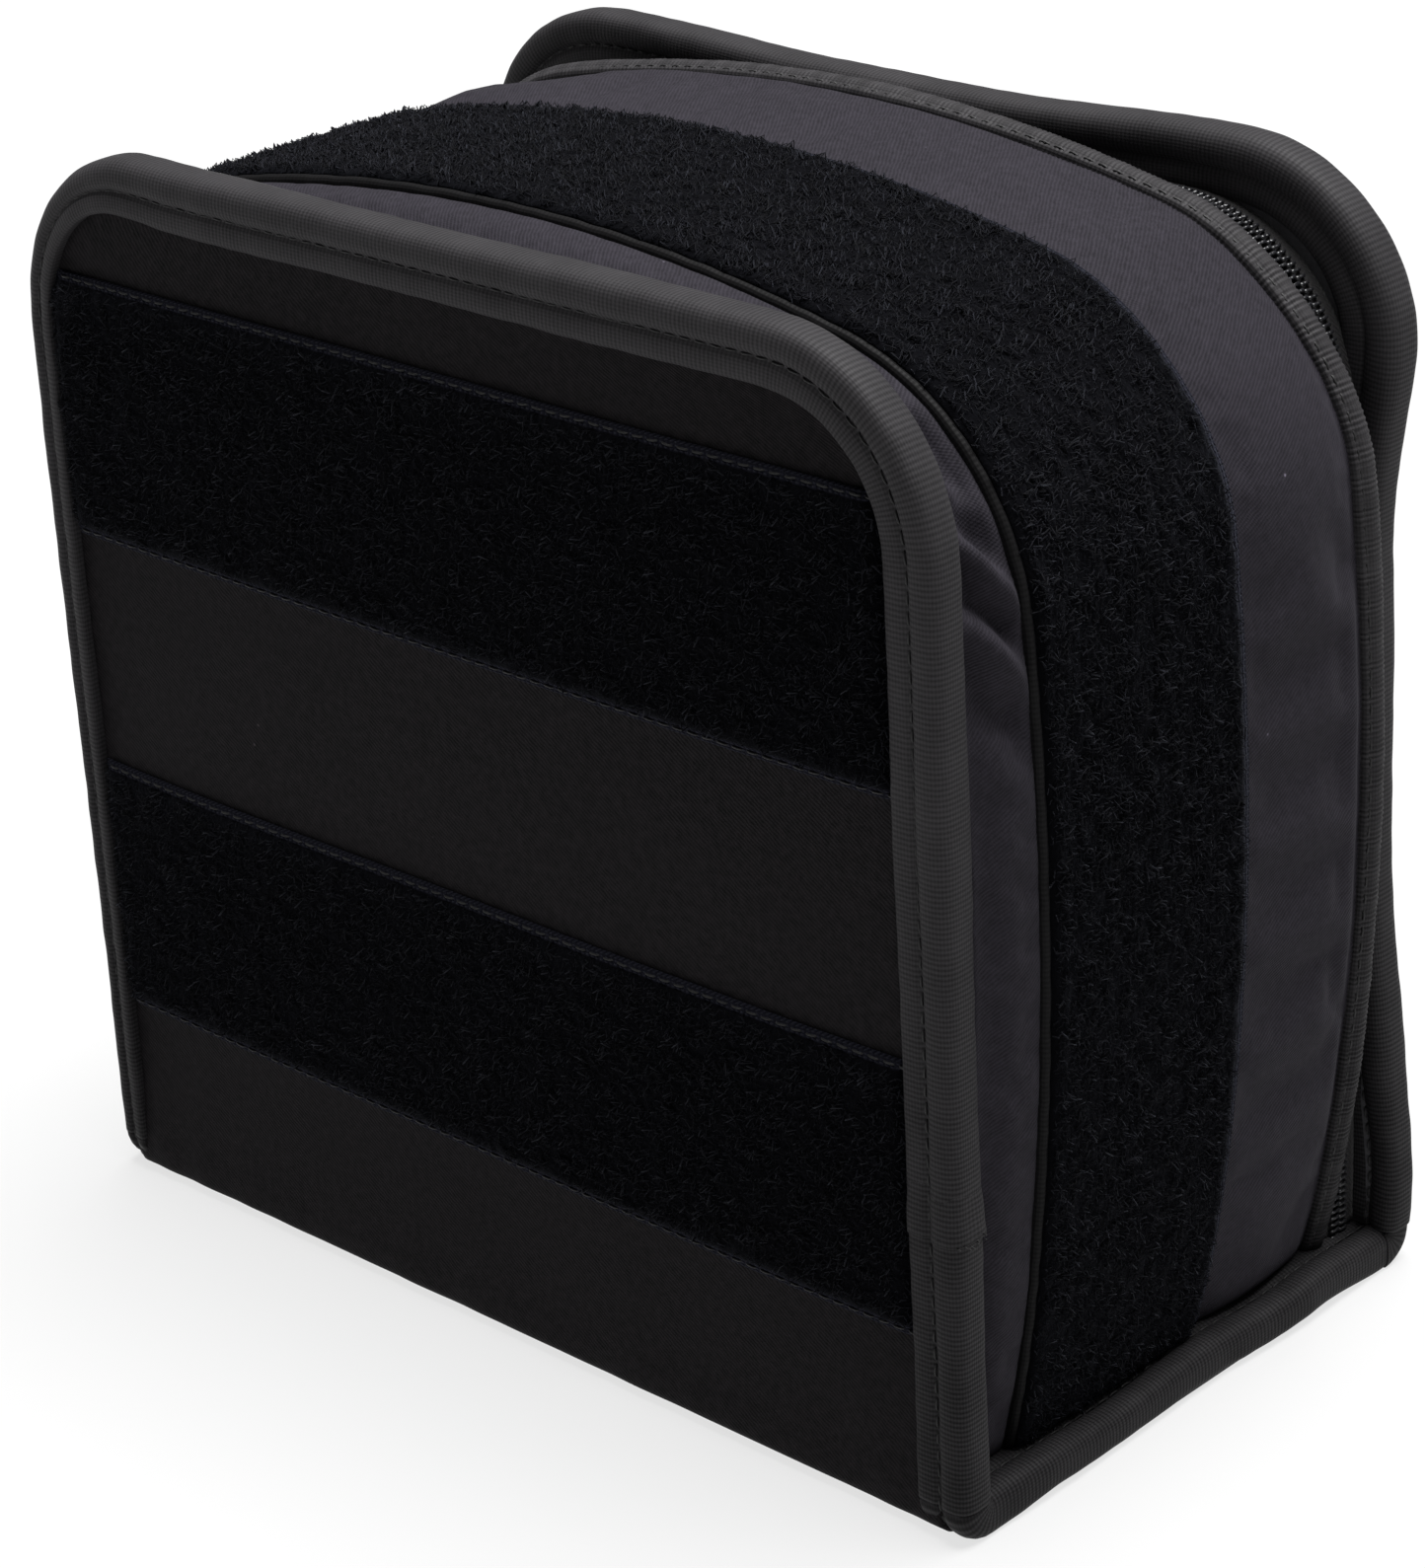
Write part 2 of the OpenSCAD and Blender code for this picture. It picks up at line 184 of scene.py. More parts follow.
class Shader:
    """A material's node tree. One method adds any node."""

    def __init__(self, name):
        self.material = bpy.data.materials.new(name)
        self.material.use_nodes = True
        self.tree = self.material.node_tree
        self.tree.nodes.clear()

    def node(self, kind, settings, *values, out=0, **named):
        added = self.tree.nodes.new(kind)
        for key, value in settings.items():
            setattr(added, key, value)
        for place, value in [*enumerate(values), *named.items()]:
            if isinstance(place, str):
                place = place.replace("_", " ")
            socket = added.inputs[place]
            if isinstance(value, Wire):
                self.tree.links.new(value.socket, socket)
            elif value is not None:
                socket.default_value = value
        return Wire(self, added.outputs[out])

    def place(self):
        """The point on the piece, in metres."""
        return self.node("ShaderNodeTexCoord", {}, out="Object")

    def cloth_uv(self):
        """Distance along and across the cloth, in metres."""
        uv = self.node("ShaderNodeUVMap", {"uv_map": "cloth"})
        return uv, self.part(uv, 0), self.part(uv, 1)

    def part(self, vector, number):
        """A vector's X, Y or Z: 0, 1 or 2."""
        return self.node("ShaderNodeSeparateXYZ", {}, vector, out=number)

    def noise(self, vector, size, detail=2.0, roughness=0.5):
        """Noise from 0 to 1 with features of that size in metres."""
        return self.node("ShaderNodeTexNoise", {}, Vector=vector, Scale=1.0 / size, Detail=detail,
                         Roughness=roughness)

    def tint(self, factor, dark, light):
        """A colour between two."""
        mix = self.node("ShaderNodeMix", {"data_type": "RGBA"}, out=2)
        added = mix.socket.node
        self.tree.links.new(factor.socket, added.inputs[0])
        for socket, value in ((added.inputs[6], dark), (added.inputs[7], light)):
            if isinstance(value, Wire):
                self.tree.links.new(value.socket, socket)
            else:
                socket.default_value = (*value, 1.0)
        return mix

    def bump(self, height, depth, strength=1.0, normal=None):
        """A Bump node: height from 0 to 1 stands for depth in metres."""
        return self.node("ShaderNodeBump", {}, Strength=strength, Distance=depth, Height=height,
                         Normal=normal)

    def surface(self, base, roughness, normal=None, sheen=0.0, sheen_tint=(1, 1, 1), gloss=None, **others):
        values = {"Base Color": base, "Roughness": roughness, "Normal": normal, "Sheen Weight": sheen,
                  "Sheen Tint": (*sheen_tint, 1.0), "Specular IOR Level": gloss, **others}
        values = {k: v for k, v in values.items() if v is not None}
        if sheen:
            values["Sheen Roughness"] = 0.45
        shaded = self.node("ShaderNodeBsdfPrincipled", {}, **values)
        self.node_output(shaded)
        return self.material

    def node_output(self, shaded):
        output = self.tree.nodes.new("ShaderNodeOutputMaterial")
        self.tree.links.new(shaded.socket, output.inputs["Surface"])


def scaled(rgb, k):
    return tuple(min(1.0, c * k) for c in rgb)


def specks(shader, place, size, share):
    """A few light specks of lint: 1 on a speck, 0 elsewhere."""
    dots = shader.node("ShaderNodeTexVoronoi", {}, Vector=place, Scale=1.0 / size)
    chosen = shader.noise(place, size * 1.3, 0.0).sharp(1.0 - share, 1.0 - share + 0.02)
    return (1 - dots.sharp(0.035, 0.06)) * chosen


def make_twill(name, rgb, pitch, mottle):
    s = Shader(name)
    uv, u, v = s.cloth_uv()
    place = s.place()
    fray = s.noise(uv, 0.0018, 3.0)
    wobble = fray * (pitch * 0.9)
    lines = (u * 0.83 + v * 0.56 + wobble).wave(pitch)
    yarn = (v * 0.83 - u * 0.56 + wobble).wave(pitch * 0.62)
    patches = s.noise(place, 0.045, 3.0)
    fuzz = s.noise(place, 0.0006, 2.0)
    height = lines * 0.62 + yarn * 0.28 + fuzz * 0.35
    grain = s.noise(place, 0.0016, 3.0, 0.7).sharp(0.35, 0.68)
    shade = lines * 0.20 + patches * 0.18 + fuzz * 0.20 + (grain - 0.5) * mottle + 0.13
    lint = specks(s, place, 0.0065, 0.34)
    base = s.tint(lint * 0.6, s.tint(shade, scaled(rgb, 0.2), scaled(rgb, 2.5)), scaled(rgb, 14))
    return s.surface(base, 0.86 - lines * 0.1, s.bump(height, pitch * 0.15, 0.8), sheen=0.02,
                     sheen_tint=(0.9, 0.88, 1.0), gloss=0.10)


def make_binding(name, rgb, rib):
    """Ribbed tape with patches of wear, paler towards the top and darker towards the bottom: that height
    ramp is painted shade, standing in for the light that falls from above.
    """
    s = Shader(name)
    uv, u, v = s.cloth_uv()
    place = s.place()
    ribs = u.wave(rib)
    lengthwise = (v + s.noise(uv, 0.003) * 0.0002).wave(0.00055)
    fuzz = s.noise(place, 0.0005, 2.0)
    worn = s.noise(place, 0.012, 4.0, 0.6)
    height = ribs * 0.4 + lengthwise * 0.3 + fuzz * 0.4
    # painted shade: a ramp on height that darkens the tape low on the pouch and leaves it paler high up, in
    # place of the light from above
    painted_shade_by_height = s.part(place, 2).sharp(0.0, 0.13)
    shade = ribs * 0.3 + lengthwise * 0.16 + fuzz * 0.25 + worn * 0.42 + painted_shade_by_height * 0.34 - 0.42
    base = s.tint(shade, scaled(rgb, 0.2), scaled(rgb, 1.8))
    return s.surface(base, 0.66 - ribs * 0.12, s.bump(height, 0.00009, 0.7), sheen=0.008,
                     sheen_tint=(0.92, 0.92, 1.0), gloss=0.08)


def make_pile(name, rgb, selvage, tape_width):
    """The loop tape's ground: matted tufts, with a flat woven edge on each side."""
    s = Shader(name)
    _, u, v = s.cloth_uv()
    place = s.place()
    tufts = s.noise(place, 0.0016, 4.0, 0.65)
    clumps = s.noise(place, 0.007, 3.0)
    middle = (v - tape_width / 2).math("ABSOLUTE")
    edge = middle.sharp(tape_width / 2 - selvage, tape_width / 2 - selvage * 0.85)
    weave = u.wave(0.0011) * v.wave(0.0006)
    dark = s.tint(tufts * 0.7 + clumps * 0.3, scaled(rgb, 0.3), scaled(rgb, 2.0))
    base = s.tint(edge, dark, s.tint(weave, scaled(rgb, 8), scaled(rgb, 20)))
    height = s.node("ShaderNodeMix", {}, edge, None, tufts, weave)
    return s.surface(base, 0.95, s.bump(height, 0.0007, 0.8), sheen=0.035, sheen_tint=(0.75, 0.8, 1.0),
                     gloss=0.03)


def make_yarn(name, rgb):
    s = Shader(name)
    place = s.place()
    clumps = s.noise(place, 0.0034, 4.0, 0.7).sharp(0.40, 0.66)
    strands = s.noise(place, 0.0009, 1.0)
    base = s.tint(clumps * 0.7 + strands * 0.3, scaled(rgb, 0.15), scaled(rgb, 5.6))
    return s.surface(base, 0.75, None, sheen=0.05, sheen_tint=(0.75, 0.8, 1.0), gloss=0.08)


def make_thread(name, rgb):
    s = Shader(name)
    place = s.place()
    ply = s.noise(place, 0.0004, 1.0)
    base = s.tint(ply, scaled(rgb, 0.7), scaled(rgb, 1.6))
    return s.surface(base, 0.6, s.bump(ply, 0.0001, 0.5), gloss=0.4)


def make_tape(name, rgb):
    """The zip's woven tape, with slanting ribs."""
    s = Shader(name)
    _, u, v = s.cloth_uv()
    slant = (v.wave(0.0024) * 0.0014 + u).wave(0.0011)
    fuzz = s.noise(s.place(), 0.0005)
    base = s.tint(slant * 0.5 + fuzz * 0.5, scaled(rgb, 0.5), scaled(rgb, 1.5))
    return s.surface(base, 0.8, s.bump(slant * 0.6 + fuzz * 0.4, 0.00012, 0.8), sheen=0.06)


def make_coil(name):
    s = Shader(name)
    place = s.place()
    scuffs = s.noise(place, 0.0015, 3.0)
    base = s.tint(scuffs, (0.006, 0.006, 0.007), (0.020, 0.020, 0.023))
    return s.surface(base, scuffs * 0.16 + 0.22, s.bump(scuffs, 0.00004, 0.5), gloss=0.55)


def make_enamel(name):
    s = Shader(name)
    place = s.place()
    wear = s.noise(place, 0.0022, 4.0, 0.65).sharp(0.60, 0.72)
    cast = s.noise(place, 0.0007, 2.0)
    base = s.tint(wear, (0.012, 0.012, 0.013), (0.16, 0.155, 0.15))
    return s.surface(base, 0.42 - wear * 0.12 + cast * 0.1, s.bump(cast, 0.00005, 0.4),
                     Metallic=wear * 0.9, gloss=0.5)


def make_lining(name, rgb):
    """Plain weave on Object coordinates, for flat linings."""
    s = Shader(name)
    place = s.place()
    x, y, z = (s.part(place, k) for k in range(3))
    weave = x.wave(0.0011) * 0.5 + (z + y).wave(0.0011) * 0.5
    patches = s.noise(place, 0.03, 3.0)
    fuzz = s.noise(place, 0.0006, 2.0)
    base = s.tint(weave * 0.3 + patches * 0.35 + fuzz * 0.35, scaled(rgb, 0.6), scaled(rgb, 1.35))
    return s.surface(base, 0.82, s.bump(weave * 0.7 + fuzz * 0.3, 0.00014, 0.8), sheen=0.08)


def make_foam(name, rgb):
    s = Shader(name)
    place = s.place()
    cells = s.node("ShaderNodeTexVoronoi", {}, Vector=place, Scale=1 / 0.0009)
    patches = s.noise(place, 0.01, 3.0)
    base = s.tint(cells * 0.6 + patches * 0.4, scaled(rgb, 0.5), scaled(rgb, 1.3))
    return s.surface(base, 0.95, s.bump(cells, 0.0004, 0.9))


def make_elastic(name, rgb):
    """Elastic web, ribbed lengthwise."""
    s = Shader(name)
    _, u, v = s.cloth_uv()
    ribs = v.wave(0.0016)
    picks = u.wave(0.0008)
    fuzz = s.noise(s.place(), 0.0005, 2.0)
    base = s.tint(ribs * 0.45 + picks * 0.2 + fuzz * 0.35, scaled(rgb, 0.45), scaled(rgb, 1.8))
    return s.surface(base, 0.7, s.bump(ribs * 0.6 + picks * 0.25 + fuzz * 0.15, 0.0002, 0.9), sheen=0.06)


def make_net(name, rgb):
    """Knitted mesh: round holes in rows, every other row shifted by half."""
    s = Shader(name)
    _, u, v = s.cloth_uv()
    pitch = 0.0026
    first = u.wave(pitch) * v.wave(pitch * 1.5)
    second = (u + pitch / 2).wave(pitch) * (v + pitch * 0.75).wave(pitch * 1.5)
    hole = first.math("MAXIMUM", second)
    solid = 1 - hole.sharp(0.52, 0.60)
    fuzz = s.noise(s.place(), 0.0004, 2.0)
    base = s.tint(fuzz, scaled(rgb, 0.5), scaled(rgb, 1.6))
    return s.surface(base, 0.75, s.bump(1 - hole, 0.0003, 0.8), Alpha=solid)


def make_floor(name):
    s = Shader(name)
    grain = s.noise(s.place(), 0.35, 2.0)
    base = s.tint(grain, (0.115, 0.115, 0.115), (0.125, 0.125, 0.125))
    return s.surface(base, 0.9, gloss=0.1, Emission_Color=(1.0, 1.0, 1.0, 1.0), Emission_Strength=0.73)


LOOKS = {}


def make_materials():
    cloth = bpy.context.scene.pouch_cloth
    pile = bpy.context.scene.pouch_pile
    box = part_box("front_loop_strip_lower")
    LOOKS.update(
        shell_twill=make_twill("shell_twill", cloth.shell, cloth.twill_pitch, 0.6),
        gusset_twill=make_twill("gusset_twill", cloth.gusset, cloth.twill_pitch * 0.95, 0.18),
        grosgrain_binding=make_binding("grosgrain_binding", cloth.binding, cloth.binding_rib),
        loop_pile=make_pile("loop_pile", cloth.pile, pile.selvage, box[1].z - box[0].z),
        loop_yarn=make_yarn("loop_yarn", cloth.pile),
        piping_cord=make_binding("piping_cord", scaled(cloth.binding, 0.19), 0.0009),
        thread=make_thread("thread", scaled(cloth.binding, 0.15)),
        zip_tape=make_tape("zip_tape", scaled(cloth.shell, 1.1)),
        zip_coil=make_coil("zip_coil"),
        slider_enamel=make_enamel("slider_enamel"),
        lining_cloth=make_lining("lining_cloth", cloth.lining),
        stiff_foam=make_foam("stiff_foam", cloth.foam),
        soft_foam=make_foam("soft_foam", scaled(cloth.foam, 1.2)),
        elastic_web=make_elastic("elastic_web", scaled(cloth.binding, 0.57)),
        pocket_mesh=make_net("pocket_mesh", scaled(cloth.lining, 0.9)),
    )


# ---- shapes from the frame ----


def across(a, b, c):
    return (b[0] - a[0]) * (c[1] - a[1]) - (b[1] - a[1]) * (c[0] - a[0])


def chain(points):
    """One side of the convex hull of sorted points."""
    kept = []
    for p in points:
        while len(kept) > 1 and across(kept[-2], kept[-1], p) <= 0:
            kept.pop()
        kept.append(p)
    return kept


def outline(node):
    """A node's outer outline in the XZ plane, from its left foot over the top to its right foot."""
    points = sorted({(round(v.co.x, 6), round(v.co.z, 6)) for v in NODES[node].data.vertices})
    loop = chain(points)[:-1] + chain(points[::-1])[:-1]
    floor = min(p[1] for p in loop) + 0.0002
    right = max((i for i, p in enumerate(loop) if p[1] <= floor), key=lambda i: loop[i][0])
    loop = loop[right:] + loop[:right]
    left = min((i for i, p in enumerate(loop) if p[1] <= floor), key=lambda i: loop[i][0])
    return loop[: left + 1][::-1]


def run_of(points):
    """The distance along a line to each of its points."""
    return np.concatenate([[0], np.cumsum(np.linalg.norm(np.diff(points, axis=0), axis=1))])


def evenly(points, start, count):
    """Points evenly along a line, from a distance along it to its end."""
    run = run_of(points)
    at = np.linspace(start, run[-1], count)
    return np.stack([np.interp(at, run, points[:, k]) for k in range(points.shape[1])], 1)


def resample(points, step):
    """Points evenly along a line, near that step."""
    points = np.array(points, float)
    return evenly(points, 0, max(2, round(run_of(points)[-1] / step) + 1))


def unit(vectors):
    return vectors / np.linalg.norm(vectors, axis=-1)[..., None]


def space(x, y, z):
    """Points in space. Any coordinate may be one number for all of them."""
    return np.stack(np.broadcast_arrays(x, y, z), -1)


def columns_of(grid):
    return [grid[:, j] for j in range(grid.shape[1])]


def softened(points, passes):
    """Each point moved half way to the mean of its neighbours, the ends held."""
    points = points.copy()
    for _ in range(passes):
        points[1:-1] = points[1:-1] * 0.5 + (points[:-2] + points[2:]) * 0.25
    return points


def hump(x, middle, width):
    """A smooth bump of height 1."""
    return np.exp(-(((x - middle) / width) ** 2))


def ease(x, low, high):
    """0 below low, 1 above high, smooth in between."""
    t = np.clip((x - low) / (high - low), 0, 1)
    return t * t * (3 - 2 * t)


def ripple(points, size, seed):
    """Smooth noise from -1 to 1 at an array of points."""
    shift = Vector((seed * 7.31, seed * 3.17, seed * 5.77))
    flat = points.reshape(-1, 3)
    values = [noise.noise(Vector(p) / size + shift) for p in flat]
    return np.array(values).reshape(points.shape[:-1])


class Edge:
    """A closed-topped outline in the XZ plane with its length and outward normals."""

    def __init__(self, node, step, shape=None):
        points = softened(resample(outline(node), 0.0005), 60)
        if shape is not None:
            points = shape(points)
        self.points = resample(points, step)
        ahead = unit(np.gradient(self.points, axis=0))
        self.normals = np.stack([-ahead[:, 1], ahead[:, 0]], 1)
        self.along = run_of(self.points)
        self.length = self.along[-1]
        self.corner = (2 * np.abs(self.normals[:, 0] * self.normals[:, 1])) ** 2
        self.from_foot = np.minimum(self.along, self.length - self.along)

    @property
    def outward(self):
        """The outward normals in space."""
        return space(self.normals[:, 0], 0.0, self.normals[:, 1])

    def column(self, y, offset):
        """Points along the outline at depth y, moved out by offset. Both may vary along it."""
        moved = self.points + self.normals * np.broadcast_to(offset, self.along.shape)[:, None]
        return space(moved[:, 0], y, moved[:, 1])

    def nearest(self, other):
        """For each point of another outline, the place along this one that is nearest."""
        gaps = np.linalg.norm(other.points[:, None] - self.points[None], axis=2)
        return gaps.argmin(1)


# ---- meshes ----


def placed(name, data):
    """A new object in the scene."""
    piece = bpy.data.objects.new(name, data)
    bpy.context.scene.collection.objects.link(piece)
    return piece


def set_uv(mesh, uv):
    """Stores each vertex's distance along and across the cloth, in metres."""
    corners = np.zeros(len(mesh.loops), int)
    mesh.loops.foreach_get("vertex_index", corners)
    per_vertex = np.asarray(uv, np.float32).reshape(-1, 2)
    mesh.uv_layers["cloth"].data.foreach_set("uv", per_vertex[corners].ravel())


def finish_mesh(name, vertices, faces, uv=None, look=None, smooth=True):
    mesh = bpy.data.meshes.new(name)
    mesh.from_pydata(np.asarray(vertices).reshape(-1, 3).tolist(), [], faces)
    if uv is not None:
        mesh.uv_layers.new(name="cloth")
        set_uv(mesh, uv)
    mesh.polygons.foreach_set("use_smooth", [smooth] * len(mesh.polygons))
    piece = placed(name, mesh)
    if look:
        mesh.materials.append(LOOKS[look])
    mesh.update()
    return piece


def enclosed(grid):
    """Twice the signed volume inside a closed section swept along a path, near enough for its sign."""
    a, b = grid[:-1], grid[1:]
    c, d = np.roll(a, -1, axis=1), np.roll(b, -1, axis=1)
    total = np.einsum("ijk,ijk->", np.cross(a, b), d) + np.einsum("ijk,ijk->", np.cross(a, d), c)
    ends = 0.0
    for ring, sign in ((grid[0], 1), (grid[-1], -1)):
        middle = ring.mean(0)
        after = np.roll(ring, -1, axis=0)
        ends += sign * np.einsum("ij,ij->", np.cross(ring, after), np.broadcast_to(middle, ring.shape))
    return total + ends


def skin(name, columns, look, relief=None, start=0.0):
    """A closed tube of cloth: columns of points that run along it, in order round its section."""
    grid = np.stack(columns, 1)
    rows, cols = grid.shape[:2]
    along = np.concatenate([[0], np.cumsum(np.linalg.norm(np.diff(grid, axis=0), axis=2).mean(1))]) + start
    round_it = np.linalg.norm(np.roll(grid, -1, axis=1) - grid, axis=2).mean(0)
    turn = np.concatenate([[0], np.cumsum(round_it)])[:-1]
    outwards = enclosed(grid) > 0
    if relief is not None:
        du = np.gradient(grid, axis=0)
        dv = (np.roll(grid, -1, axis=1) - np.roll(grid, 1, axis=1)) / 2
        normal = np.cross(du, dv)
        normal /= np.maximum(np.linalg.norm(normal, axis=2), 1e-12)[..., None]
        grid = grid + normal * (1 if outwards else -1) * relief(along[:, None], turn[None], grid)[..., None]
    grid[..., 2] = np.maximum(grid[..., 2], 0.0001)
    faces = []
    for i in range(rows - 1):
        for j in range(cols):
            k = (j + 1) % cols
            quad = (i * cols + j, (i + 1) * cols + j, (i + 1) * cols + k, i * cols + k)
            faces.append(quad if outwards else quad[::-1])
    first, last = tuple(range(cols)), tuple(range((rows - 1) * cols, rows * cols))
    faces += [first, last[::-1]] if outwards else [first[::-1], last]
    uv = np.stack(np.broadcast_arrays(along[:, None], turn[None]), 2)
    return finish_mesh(name, grid, faces, uv, look)


def slab(name, top, thickness, down, look, relief=None):
    """A sheet with a closed edge: a grid of points for its face, and its thickness along down."""
    below = top + np.asarray(down, float) * thickness
    return skin(name, columns_of(top) + columns_of(below)[::-1], look, relief)


def settled(grid, held, slack, pressure, cap, frames=16):
    """How far each point of a grid of cloth moves when it is simulated: held points stay, the cloth is
    longer than its shape by slack, and pressure pushes it out."""
    rows, cols = grid.shape[:2]
    faces = [(i * cols + j, i * cols + j + 1, (i + 1) * cols + j + 1, (i + 1) * cols + j)
             for i in range(rows - 1) for j in range(cols - 1)]
    cloth = finish_mesh("settling", grid, faces)
    group = cloth.vertex_groups.new(name="held")
    for place, weight in enumerate(held.ravel()):
        if weight > 0:
            group.add([place], float(weight), "REPLACE")
    modifier = cloth.modifiers.new("Cloth", "CLOTH")
    settings = modifier.settings
    settings.quality = 6
    settings.mass = 0.2
    settings.tension_stiffness = 20
    settings.compression_stiffness = 20
    settings.bending_stiffness = 3.0
    settings.vertex_group_mass = "held"
    settings.pin_stiffness = 1.0
    settings.shrink_min = -slack
    settings.use_pressure = pressure != 0
    settings.uniform_pressure_force = pressure
    settings.effector_weights.gravity = 0
    modifier.collision_settings.use_collision = False
    modifier.point_cache.frame_start = 1
    modifier.point_cache.frame_end = frames
    for step in range(1, frames + 1):
        bpy.context.scene.frame_set(step)
    moved = cloth.evaluated_get(bpy.context.evaluated_depsgraph_get()).data
    place = np.zeros(rows * cols * 3)
    moved.vertices.foreach_get("co", place)
    shift = place.reshape(grid.shape) - grid
    size = np.maximum(np.linalg.norm(shift, axis=2), 1e-9)
    shift *= (np.minimum(size, cap) / size)[..., None]
    bpy.data.objects.remove(cloth)
    bpy.context.scene.frame_set(1)
    return shift


# ---- Geometry Nodes ----


def new_tree(name, inputs):
    tree = bpy.data.node_groups.new(name, "GeometryNodeTree")
    tree.interface.new_socket("Geometry", in_out="INPUT", socket_type="NodeSocketGeometry")
    for label, kind in inputs:
        tree.interface.new_socket(label, in_out="INPUT", socket_type=kind)
    tree.interface.new_socket("Geometry", in_out="OUTPUT", socket_type="NodeSocketGeometry")
    return tree


def add(tree, kind, settings=(), links=(), **values):
    """Adds a node: settings are set first, links are (socket, source node, output), values are inputs."""
    made = tree.nodes.new(kind)
    for key, value in dict(settings).items():
        setattr(made, key, value)
    for key, value in values.items():
        made.inputs[key.replace("_", " ")].default_value = value
    for socket, source, output in links:
        tree.links.new(source.outputs[output], made.inputs[socket])
    return made


def maths(tree, operation, *inputs):
    """A Math node. Each input is a number or a (node, output)."""
    made = add(tree, "ShaderNodeMath", {"operation": operation})
    for place, value in enumerate(inputs):
        if isinstance(value, tuple):
            tree.links.new(value[0].outputs[value[1]], made.inputs[place])
        else:
            made.inputs[place].default_value = value
    return made


def follow_tree():
    """Copies of a piece along a line at an even pitch, turned to the line and to its 'up' attribute."""
    inputs = [("Pitch", "NodeSocketFloat"), ("Piece", "NodeSocketObject"), ("Look", "NodeSocketMaterial"),
              ("Wobble", "NodeSocketFloat"), ("Seed", "NodeSocketInt")]
    tree = new_tree("copies_along_a_line", inputs)
    source = tree.nodes.new("NodeGroupInput")
    line = add(tree, "GeometryNodeMeshToCurve", links=[("Mesh", source, "Geometry")])
    even = add(tree, "GeometryNodeResampleCurve", {"mode": "LENGTH"},
               [("Curve", line, "Curve"), ("Length", source, "Pitch")])
    ahead = add(tree, "GeometryNodeInputTangent")
    up = add(tree, "GeometryNodeInputNamedAttribute", {"data_type": "FLOAT_VECTOR"}, Name="up")
    along = add(tree, "FunctionNodeAlignRotationToVector", {"axis": "X"}, [("Vector", ahead, "Tangent")])
    upright = add(tree, "FunctionNodeAlignRotationToVector", {"axis": "Z", "pivot_axis": "X"},
                  [("Rotation", along, "Rotation"), ("Vector", up, "Attribute")])
    low = maths(tree, "SUBTRACT", 0.0, (source, "Wobble"))
    turn = add(tree, "FunctionNodeRandomValue", {"data_type": "FLOAT"},
               [("Min", low, 0), ("Max", source, "Wobble"), ("Seed", source, "Seed")])
    spin = add(tree, "FunctionNodeAxisAngleToRotation", links=[("Angle", turn, "Value")],
               Axis=(0.0, 0.0, 1.0))
    turned = add(tree, "FunctionNodeRotateRotation", {"rotation_space": "LOCAL"},
                 [("Rotation", upright, "Rotation"), ("Rotate By", spin, "Rotation")])
    piece = add(tree, "GeometryNodeObjectInfo", links=[("Object", source, "Piece")])
    copies = add(tree, "GeometryNodeInstanceOnPoints", links=[
        ("Points", even, "Curve"), ("Instance", piece, "Geometry"), ("Rotation", turned, "Rotation")])
    end_tree(tree, copies, "Instances", source)
    return tree


# Loops differ in size by this much, and stand up in tufts: the noise's scale, and its gain and shift.
LOOP_SIZES = (0.65, 1.35)
TUFT_SCALE = 380.0
TUFT_HEIGHTS = (2.2, -0.1)


def scatter_tree():
    """Copies of a piece scattered over faces as thickly as their 'pile' attribute says."""
    inputs = [("Density", "NodeSocketFloat"), ("Piece", "NodeSocketObject"), ("Look", "NodeSocketMaterial"),
              ("Lean", "NodeSocketFloat"), ("Seed", "NodeSocketInt")]
    tree = new_tree("pile_on_faces", inputs)
    source = tree.nodes.new("NodeGroupInput")
    share = add(tree, "GeometryNodeInputNamedAttribute", {"data_type": "FLOAT"}, Name="pile")
    density = maths(tree, "MULTIPLY", (source, "Density"), (share, "Attribute"))
    points = add(tree, "GeometryNodeDistributePointsOnFaces", links=[
        ("Mesh", source, "Geometry"), ("Density", density, 0), ("Seed", source, "Seed")])
    low = maths(tree, "MULTIPLY", (source, "Lean"), -1.0)
    lows = add(tree, "ShaderNodeCombineXYZ", links=[("X", low, 0), ("Y", low, 0)], Z=-math.pi)
    highs = add(tree, "ShaderNodeCombineXYZ", links=[("X", source, "Lean"), ("Y", source, "Lean")],
                Z=math.pi)
    turn = add(tree, "FunctionNodeRandomValue", {"data_type": "FLOAT_VECTOR"},
               [("Min", lows, 0), ("Max", highs, 0), ("Seed", source, "Seed")])
    spin = add(tree, "FunctionNodeEulerToRotation", links=[("Euler", turn, "Value")])
    turned = add(tree, "FunctionNodeRotateRotation", {"rotation_space": "LOCAL"},
                 [("Rotation", points, "Rotation"), ("Rotate By", spin, "Rotation")])
    size = add(tree, "FunctionNodeRandomValue", {"data_type": "FLOAT"}, [("Seed", source, "Seed")])
    size.inputs[2].default_value, size.inputs[3].default_value = LOOP_SIZES
    place = add(tree, "GeometryNodeInputPosition")
    tufts = add(tree, "ShaderNodeTexNoise", links=[("Vector", place, "Position")], Scale=TUFT_SCALE,
                Detail=1.0)
    taller = maths(tree, "MULTIPLY_ADD", (tufts, 0), *TUFT_HEIGHTS)
    scale = maths(tree, "MULTIPLY", (size, 1), (taller, 0))
    piece = add(tree, "GeometryNodeObjectInfo", links=[("Object", source, "Piece")])
    copies = add(tree, "GeometryNodeInstanceOnPoints", links=[
        ("Points", points, "Points"), ("Instance", piece, "Geometry"), ("Rotation", turned, "Rotation"),
        ("Scale", scale, 0)])
    end_tree(tree, copies, "Instances", source)
    return tree


def end_tree(tree, last, output, source):
    real = add(tree, "GeometryNodeRealizeInstances", links=[("Geometry", last, output)])
    painted = add(tree, "GeometryNodeSetMaterial", links=[("Geometry", real, "Geometry"),
                                                          ("Material", source, "Look")])
    result = tree.nodes.new("NodeGroupOutput")
    tree.links.new(painted.outputs["Geometry"], result.inputs["Geometry"])


